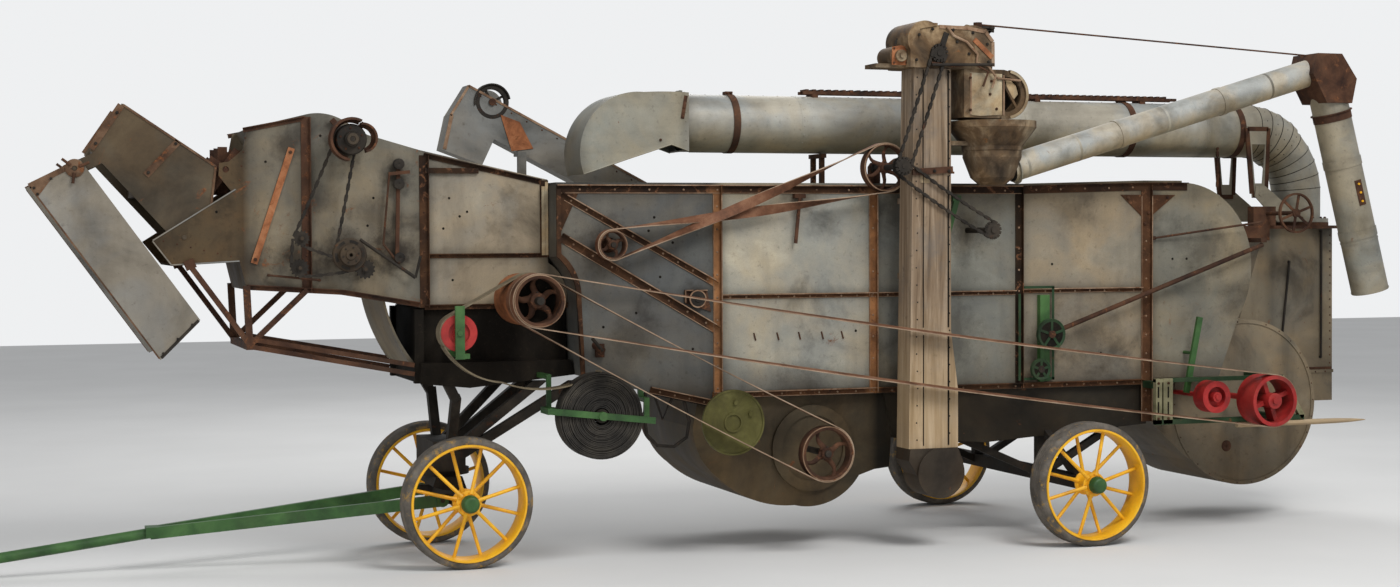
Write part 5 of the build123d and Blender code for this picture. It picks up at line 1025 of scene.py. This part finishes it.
def bend_seams():
    """Rolled seams in the mitre planes of both parts of the bend, and their rivets and bolts."""
    s = Shape()

    def seam(angle, radius, thick):
        turn = radians(angle)
        away = Vector((cos(turn), 0, sin(turn)))
        middle_x, middle_z = polar(BEND_X, BEND_Z, BEND_R / cos(MITRE), turn)
        centre = s.at(middle_x, 0, middle_z)
        across = Vector((0, radius / 1000, 0))
        points = [centre + away * cos(a) * radius / cos(MITRE) / 1000 + across * sin(a) for a in turns(56)]
        s.pipe(points, thick, 6, loop=True)

    def seam_rivet(angle, a, lift, size):
        turn = radians(angle)
        middle_x, middle_z = polar(BEND_X, BEND_Z, BEND_R, turn)
        out = Vector((cos(turn) * cos(a), sin(a), sin(turn) * cos(a)))
        s.rivet(*(Vector((middle_x, 0, middle_z)) + out * lift), size, out)

    for angle in (5, 15, 25, 35, 45, 55):
        seam(angle, 188.5, 2.6)
    for angle in (5, 15, 25, 35, 45):
        for a in (0.35, 0.8, 1.25, -0.35, -0.8, -1.25):
            seam_rivet(angle, -a, 187.5, 6)
    turntable_x, ring_r, ring_z = 6820, 226, 2280.5
    for a in turns(16):
        s.bolt(turntable_x + ring_r * cos(a), ring_r * sin(a), ring_z, 11, (0, 0, 1), 1)
    s.piece("elbow_seams", [dark, rusty], "turntable")
    s = Shape()
    for angle in (55, 65, 75, 85):
        seam(angle, 203.5, 3)
    for angle in (50.5, 60, 70, 80):
        for a in turns(14, 0.2):
            seam_rivet(angle, a, 202.4, 5)
    s.piece("upper_bend_seams", [dark], "stacker")


def hood_works():
    """Edge beads, strap and rivets of the straw hood."""
    s = Shape()
    for side in (-1, 1):
        y = side * 203.6
        s.wire([(1685, 2757), (1560, 2800), (1250, 2700), (927, 2590)], y, 4.5)
        s.bars([(1668, 3140, 1640, 2980)], y, 26, 4, 1)
        s.rivets(dots(1668, 3120, 1668, 2800, 60) + dots(1640, 3148, 1380, 3140, 85), y, 5, side)
        s.bolts([(1652, 3060), (1640, 2990), (1480, 2830)], y, 10, side, 1)
    s.piece("hood_fittings", [galvanised_pipe, rusty], "hood")


def loader_works():
    """Lap seams and flange of the spout, red bracket and seams of the fall pipe."""
    s = Shape()
    start, end = at(3820, LOADER_Y, 2624), at(6369, LOADER_Y, 3370)
    along = (end - start).normalized()
    for share in (0.04, 0.2, 0.48, 0.82):
        s.collar(start.lerp(end, share), along, band_rows(97, 18, 1.8))
    s.collar(start + along * 0.03, along, band_rows(96, 8, 22))
    lean = radians(14.9)
    top_x, top_z = 6430, 3270
    down = Vector((sin(lean), 0, -cos(lean)))
    for distance, wide, high, mat in ((250, 60, 6, 1), (222, 8, 17, 1), (630, 10, 4, 0), (1200, 10, 4, 0),
                                      (1585, 10, 4, 0)):
        centre = at(top_x, LOADER_Y, top_z) + down * distance / 1000
        s.collar(centre, down, band_rows(134, wide, high), 48, mat)

    def below(distance):
        return top_x + sin(lean) * distance, top_z - cos(lean) * distance

    s.bars([below(740) + below(930)], LOADER_Y - 136.5, 56, 5, 1)
    s.bolts([below(distance) for distance in (770, 835, 900)], LOADER_Y - 139, 9, mat=2)
    s.piece("loader_fittings", [galvanised_pipe, rusty, yellow], "loader")


pipe_seams()
bend_seams()
hood_works()
loader_works()


# Rear frame, straw fan and small fittings

def rear_works():
    """Rear frame with its lever plates and pole, trunk rivets and fan ring rivets."""
    s = Shape(SIDE)
    y0, y1 = -245, -205
    wall, body = -6.5, 184
    # Columns: X, Y and Z of both faces, material
    for row in ((5150, 6090, y0, y1, 1090, 1120, 1), (5010, 6275, y0, y1, 785, 820, 1),
                (5010, 5060, y0, y1, 790, 1118, 2), (5074, 5150, y0, y1, 790, 1118, 2),
                (5010, 5150, y0 + 2, y1, 1092, 1116, 2), (5045, 5105, y1, wall, 1040, 1090, 1),
                (6040, 6090, y1, body, 1090, 1115, 1), (5300, 5360, y1, body, 790, 815, 1),
                (6120, 6180, y1, body, 790, 815, 1)):
        s.block(*row)
    for x in (5030, 5112):
        for z0, z1 in ((860, 950), (980, 1060)):
            s.block(x - 6, x + 6, y0 - 1.5, y0, z0, z1, 3)
        s.bolts([(x, 830), (x, 1085)], y0, 10)
    s.bars([(6080, 1105, 6270, 800)], (y0 + y1) / 2, 40, 40, 2)
    s.piece("rear_frame", [rusty, dark_green, tan_green, void], replaces=("platform_frame",))
    s = Shape()
    rings = []
    for x, high, deep in ((5700, 21, 22), (6000, 21, 23), (6400, 20.5, 23), (6560, 19, 20), (6700, 14, 14),
                          (6800, 6, 7), (6829, 2, 2)):
        rings.append([s.at(x, -865 + deep * cos(a), 763 + high * sin(a)) for a in turns(14)])
    s.rings(rings)
    s.piece("rear_pole", [wood_long])
    s = Shape()
    for side in (-1, 1):
        s.rivets(dots(6960, 2180, 6964, 1120, 62), side * 250, 7, side)
        s.rivets(dots(6420, 1086, 6960, 1086, 90), side * 260, 7, side)
        s.bars([(6420, 1112, 6980, 1112)], side * 252, 20, 6)
        for x, z in (polar(6045, 888, 612, a) for a in turns(30)):
            if not (x > 5990 and z > 1490) and not (abs(x - 5434) < 60 and abs(z - 984) < 60):
                s.rivets([(x, z)], side * 458, 6, side)
        rows = [(2, 458), (36, 458), (42, 452), (42, 449), (2, 449)]
        s.lathe([(r, side * h) for r, h in rows], (5890, 0, 560), 24)
        s.bolts([(5890, 560)], side * 458, 12, side)
    s.piece("trunk_rivets", [rusty])


def side_details():
    """Strips, straps, hooks and holes on the near wall and the feeder."""
    s = Shape(FEED)
    s.bars([(-1085, 2740, -1330, 2000)], -9.5, 43, 3, 1)
    s.bolts([(-1094, 2712), (-1322, 2026)], -11, 12)
    s.block(584, 604, -34, -30, 2040, 2530, 2)
    s.block(560, 582, -33, -30, 2040, 2500, 2)
    s.rivets([(-60, 2420), (10, 2300), (60, 2330), (-100, 2220), (340, 1900), (-40, 1880), (-1560, 2330),
              (-1250, 2650), (-900, 2820), (-560, 2420), (-600, 2240)], 0, 9, mat=3, high=0.2)
    s.rivets(dots(-1930, 2156, -1430, 2036, 90) + dots(-1420, 2486, -1370, 2846, 90), 0, 6)
    s.bars([(-1955, 2150, -1440, 2474), (-1955, 2146, -1842, 1996), (-1838, 1996, -1420, 2017)], -3, 8, 6, 4)
    s.base = SIDE
    s.bars([(745, 1690, 771, 1340), (1254, 1105, 1690, 1005)], -17.5, 6, 3, 3)
    s.rods([((x, -3, 1500), (x + 14, -5, 1448), 5) for x in (2000, 2170, 2330, 2500, 2650)], 6)
    s.rivets([(1250, 2200), (860, 2320), (1420, 2120), (1010, 2010), (1330, 1890), (1160, 1650), (930, 1560),
              (1560, 1400), (1290, 2290), (2760, 1500), (3420, 1440), (3560, 1440), (4400, 1440),
              (4700, 1300), (5300, 1980), (5420, 1980), (4300, 1950)], 0, 10, mat=3, high=0.2)
    s.piece("side_details", [rusty, copper_rust, tan, void, galvanised])


def carrier_edges():
    """Rolled rusty edges, straps and corner plates of the folding carriers."""
    s = Shape()
    for side in (-1, 1):
        y = side * 403
        s.bars([(-2124, 3001, -1560, 2619), (-1560, 2619, -1594, 2342), (-1594, 2342, -1694, 2112)], y, 14, 5)
        s.bars([(-2320, 2722, -2134, 2998)], y, 44, 4)
        s.bars([(-1990, 2560, -1790, 2775)], y, 44, 5)
        s.bolts([(-1975, 2577), (-1805, 2760), (-2290, 2757), (-2160, 2950)], side * 405, 11, side, 1)
    s.piece("inner_carrier_edges", [mid_rust, dark], "carrier_in")
    s = Shape()
    for side in (-1, 1):
        y = side * 447
        s.bars([(-2690, 2488, -2390, 2642)], y, 34, 5)
        s.bars([(-2684, 2484, -1924, 1408)], y, 10, 5)
        s.bars([(-1912, 1412, -1680, 1644)], y, 20, 4, 1)
        s.prism([(-2676, 2490), (-2560, 2530), (-2640, 2420)], y - 2, y + 2)
        s.bolts([(-2660, 2478), (-2560, 2536), (-2440, 2596), (-2640, 2440), (-1900, 1440), (-1810, 1530),
                 (-1720, 1618)], side * 449, 9, side, 1)
        rows = [(16, 447), (52, 447), (58, 453), (50, 459), (16, 459)]
        s.lathe([(r, side * h) for r, h in rows], (-2420, 0, 2600), 28)
        for angle in turns(3, 0.4):
            s.wire([polar(-2420, 2600, r, angle) for r in (30, 60, 95)], side * 462, 9, mat=2)
    s.piece("outer_carrier_edges", [mid_rust, dark, rusty], "carrier_out")


def near_parts(s):
    """Rods, handle loops, guards and the bearing on its plate at the near wall."""
    s.base = SIDE
    s.rods([((5136, -25, 2134), (6013, -85, 2249), 8)])
    s.shaft(5136, 2134, -25, -6, 14, 10, 0)
    for x0, z0, x1, z1 in ((6580, 1942, 6509, 1301), (6872, 2180, 6873, 1200), (6120, 2170, 6040, 1560)):
        s.rods([((x0, 373, z0), (x1, 373, z1), 9)], mat=1)
        s.bolts([(x0, z0), (x1, z1)], 383, 12, mat=1)
    s.wire([(1230, 1120), (1222, 960), (1236, 830), (1310, 752), (1430, 742), (1520, 800), (1540, 910),
            (1500, 1055)], 23, 12, 10, 1)
    s.wire([(1290, 1104), (1350, 930), (1420, 1068)], 29, 10, 8, 1)
    bearing = (1583, 0, 1740)
    s.lathe([(2, -54), (22, -54), (26, -48), (58, -46), (63, -40), (63, -20), (2, -20)], bearing, 36, 1)
    # Light ring on the bearing's face and light strips along the plate's edges: painted highlight.
    s.lathe([(52, -47.5), (60, -47.5), (61, -44), (52, -44)], bearing, 36, 2)
    s.bars([(1503, 1716, 1503, 1798), (1503, 1797, 1660, 1797)], -14, 6, 22, 2)
    s.rods([((840, 75, 1470), (905, -65, 1405), 24)], 12)
    s.rods([((905, -65, 1405), (832, -71, 1490), 12)], 10, 1)
    s.block(870, 930, -25, -1, 1360, 1450)
    # Dished guards: X and Z of the middle, radius, distance from the wall
    for x, z, r, out in ((4219, 1452, 110, 141), (4160, 1200, 76, 96)):
        centre = (x, -out, z)
        s.lathe([(r - 22, 0), (r - 2, -6), (r + 2, 0), (r + 2, 22), (r - 22, 1)], centre, 40, 4)
        s.lathe([(2, -12), (24, -12), (30, 0), (2, 0)], centre, 24, 1)
        spread(s, x, z, 24, r - 12, -out - 2, turns(5, 0.3), 18, 6, 4)
        s.lathe([(24, -0.8), (r - 20, -0.8), (r - 20, 0.6), (24, 0.6)], centre, 32, 5)
    s.bars([(4056, 1786, 4300, 1786), (4290, 1786, 4290, 1120), (4056, 1130, 4300, 1130),
            (4020, 1740, 4020, 1120)], -33, 18, 5, 4)


def return_head(s):
    """Wheel, cover edges and rivets at the return elevator's head."""
    s.base = 0
    x, z, plate = 500, 3130, 673
    s.lathe([(92, 674), (120, 674), (124, 680), (124, 716), (92, 716)], (x, 0, z), 44, 1)
    arc_band(s, x, z, 124, 134, 661, 726, 10, 190, 24, 1)
    s.shaft(x, z, 661, 686, 26, 16, 0)
    spread(s, x, z, 0, 96, 690, turns(4, 0.5), 18, 8, 1)
    # Light strips along the cover's edges: painted highlight.
    s.bars([(205, 3036, 150, 2790)], plate, 26, 4, 2)
    s.bars([(196, 3030, 330, 3244)], plate, 18, 4, 2)
    s.bars([(330, 3244, 1690, 2536)], plate, 16, 4, 2)
    s.prism([(560, 3040), (700, 2990), (800, 2800), (640, 2780)], 668, 674.6, 3)
    s.rivets(dots(360, 3200, 1600, 2550, 130), 675, 7)


def stay_bracket(s):
    """Bracket and pin on the elevator head, on the loader's axis."""
    s.base = LOADER_Y
    s.bars([(3490, 3583, 3696, 3583)], 0, 28, 5, 1)
    s.bars([(3600, 3512, 3668, 3578)], 0, 18, 5, 1)
    s.rods([((3680, 0, 3572), (3680, 0, 3612), 9)], 10, 1)


def small_parts():
    """Small fittings of the machine, the link of the stay wire and the short hanging chain."""
    s = Shape()
    near_parts(s)
    return_head(s)
    stay_bracket(s)
    s.piece("small_parts", [rusty, dark, rust_and_edge_highlight, copper_rust, dark_green, void])
    s = Shape(LOADER_Y)
    s.bars([(3540, 3600, 3694, 3600)], 0, 28, 5)
    s.lathe([(9.5, 3594), (20, 3594), (20, 3606), (9.5, 3606)], (3680, 0, 0), 24, axis="Z")
    s.piece("stay_link", [dark], "loader")
    s = Shape()
    chain(s, 6004, 2818, 6004, 2500, -150, 30, 10, 0.0)
    s.piece("hanging_chain", [rusty], "stacker")


rear_works()
side_details()
carrier_edges()
small_parts()


# Floor, light and backdrop

def stage():
    """Plain pale floor and backdrop with soft studio light."""
    half = 30
    corners = [(-half, -half, 0), (half, -half, 0), (half, half, 0), (-half, half, 0)]
    data = bpy.data.meshes.new("floor")
    data.from_pydata(corners, [], [(0, 1, 2, 3)])
    data.materials.append(floor_material())
    floor = bpy.data.objects.new("floor", data)
    floor.location.z = -0.0005
    bpy.context.scene.collection.objects.link(floor)
    world = bpy.data.worlds.new("world")
    bpy.context.scene.world = world
    world.use_nodes = True
    tree = world.node_tree
    # The light on the machine and the tone that the camera sees behind it
    light, shown = tree.nodes["Background"], tree.nodes.new("ShaderNodeBackground")
    for node, colour, strength in ((light, (0.82, 0.84, 0.87, 1), 0.62), (shown, (0.86, 0.87, 0.88, 1), 1.0)):
        node.inputs["Color"].default_value = colour
        node.inputs["Strength"].default_value = strength
    path = tree.nodes.new("ShaderNodeLightPath")
    either = tree.nodes.new("ShaderNodeMixShader")
    tree.links.new(path.outputs["Is Camera Ray"], either.inputs[0])
    tree.links.new(light.outputs[0], either.inputs[1])
    tree.links.new(shown.outputs[0], either.inputs[2])
    tree.links.new(either.outputs[0], tree.nodes["World Output"].inputs["Surface"])
    # Columns: name, place, target, size, power
    for name, place, target, size, power in (("key", (3.0, -9.0, 11.0), (0.5, 0, 1.5), 5.0, 1150),
                                             ("fill", (-9.0, -9.0, 5.0), (-1, 0, 1.5), 7.0, 330),
                                             ("back", (4.0, 9.0, 9.0), (0, 0, 1.5), 6.0, 500)):
        lamp = bpy.data.lights.new(name, "AREA")
        lamp.size = size
        lamp.energy = power
        made = bpy.data.objects.new(name, lamp)
        made.location = place
        made.rotation_euler = (Vector(target) - Vector(place)).to_track_quat("-Z", "Y").to_euler()
        bpy.context.scene.collection.objects.link(made)
    bpy.context.scene.view_settings.view_transform = "Standard"


stage()
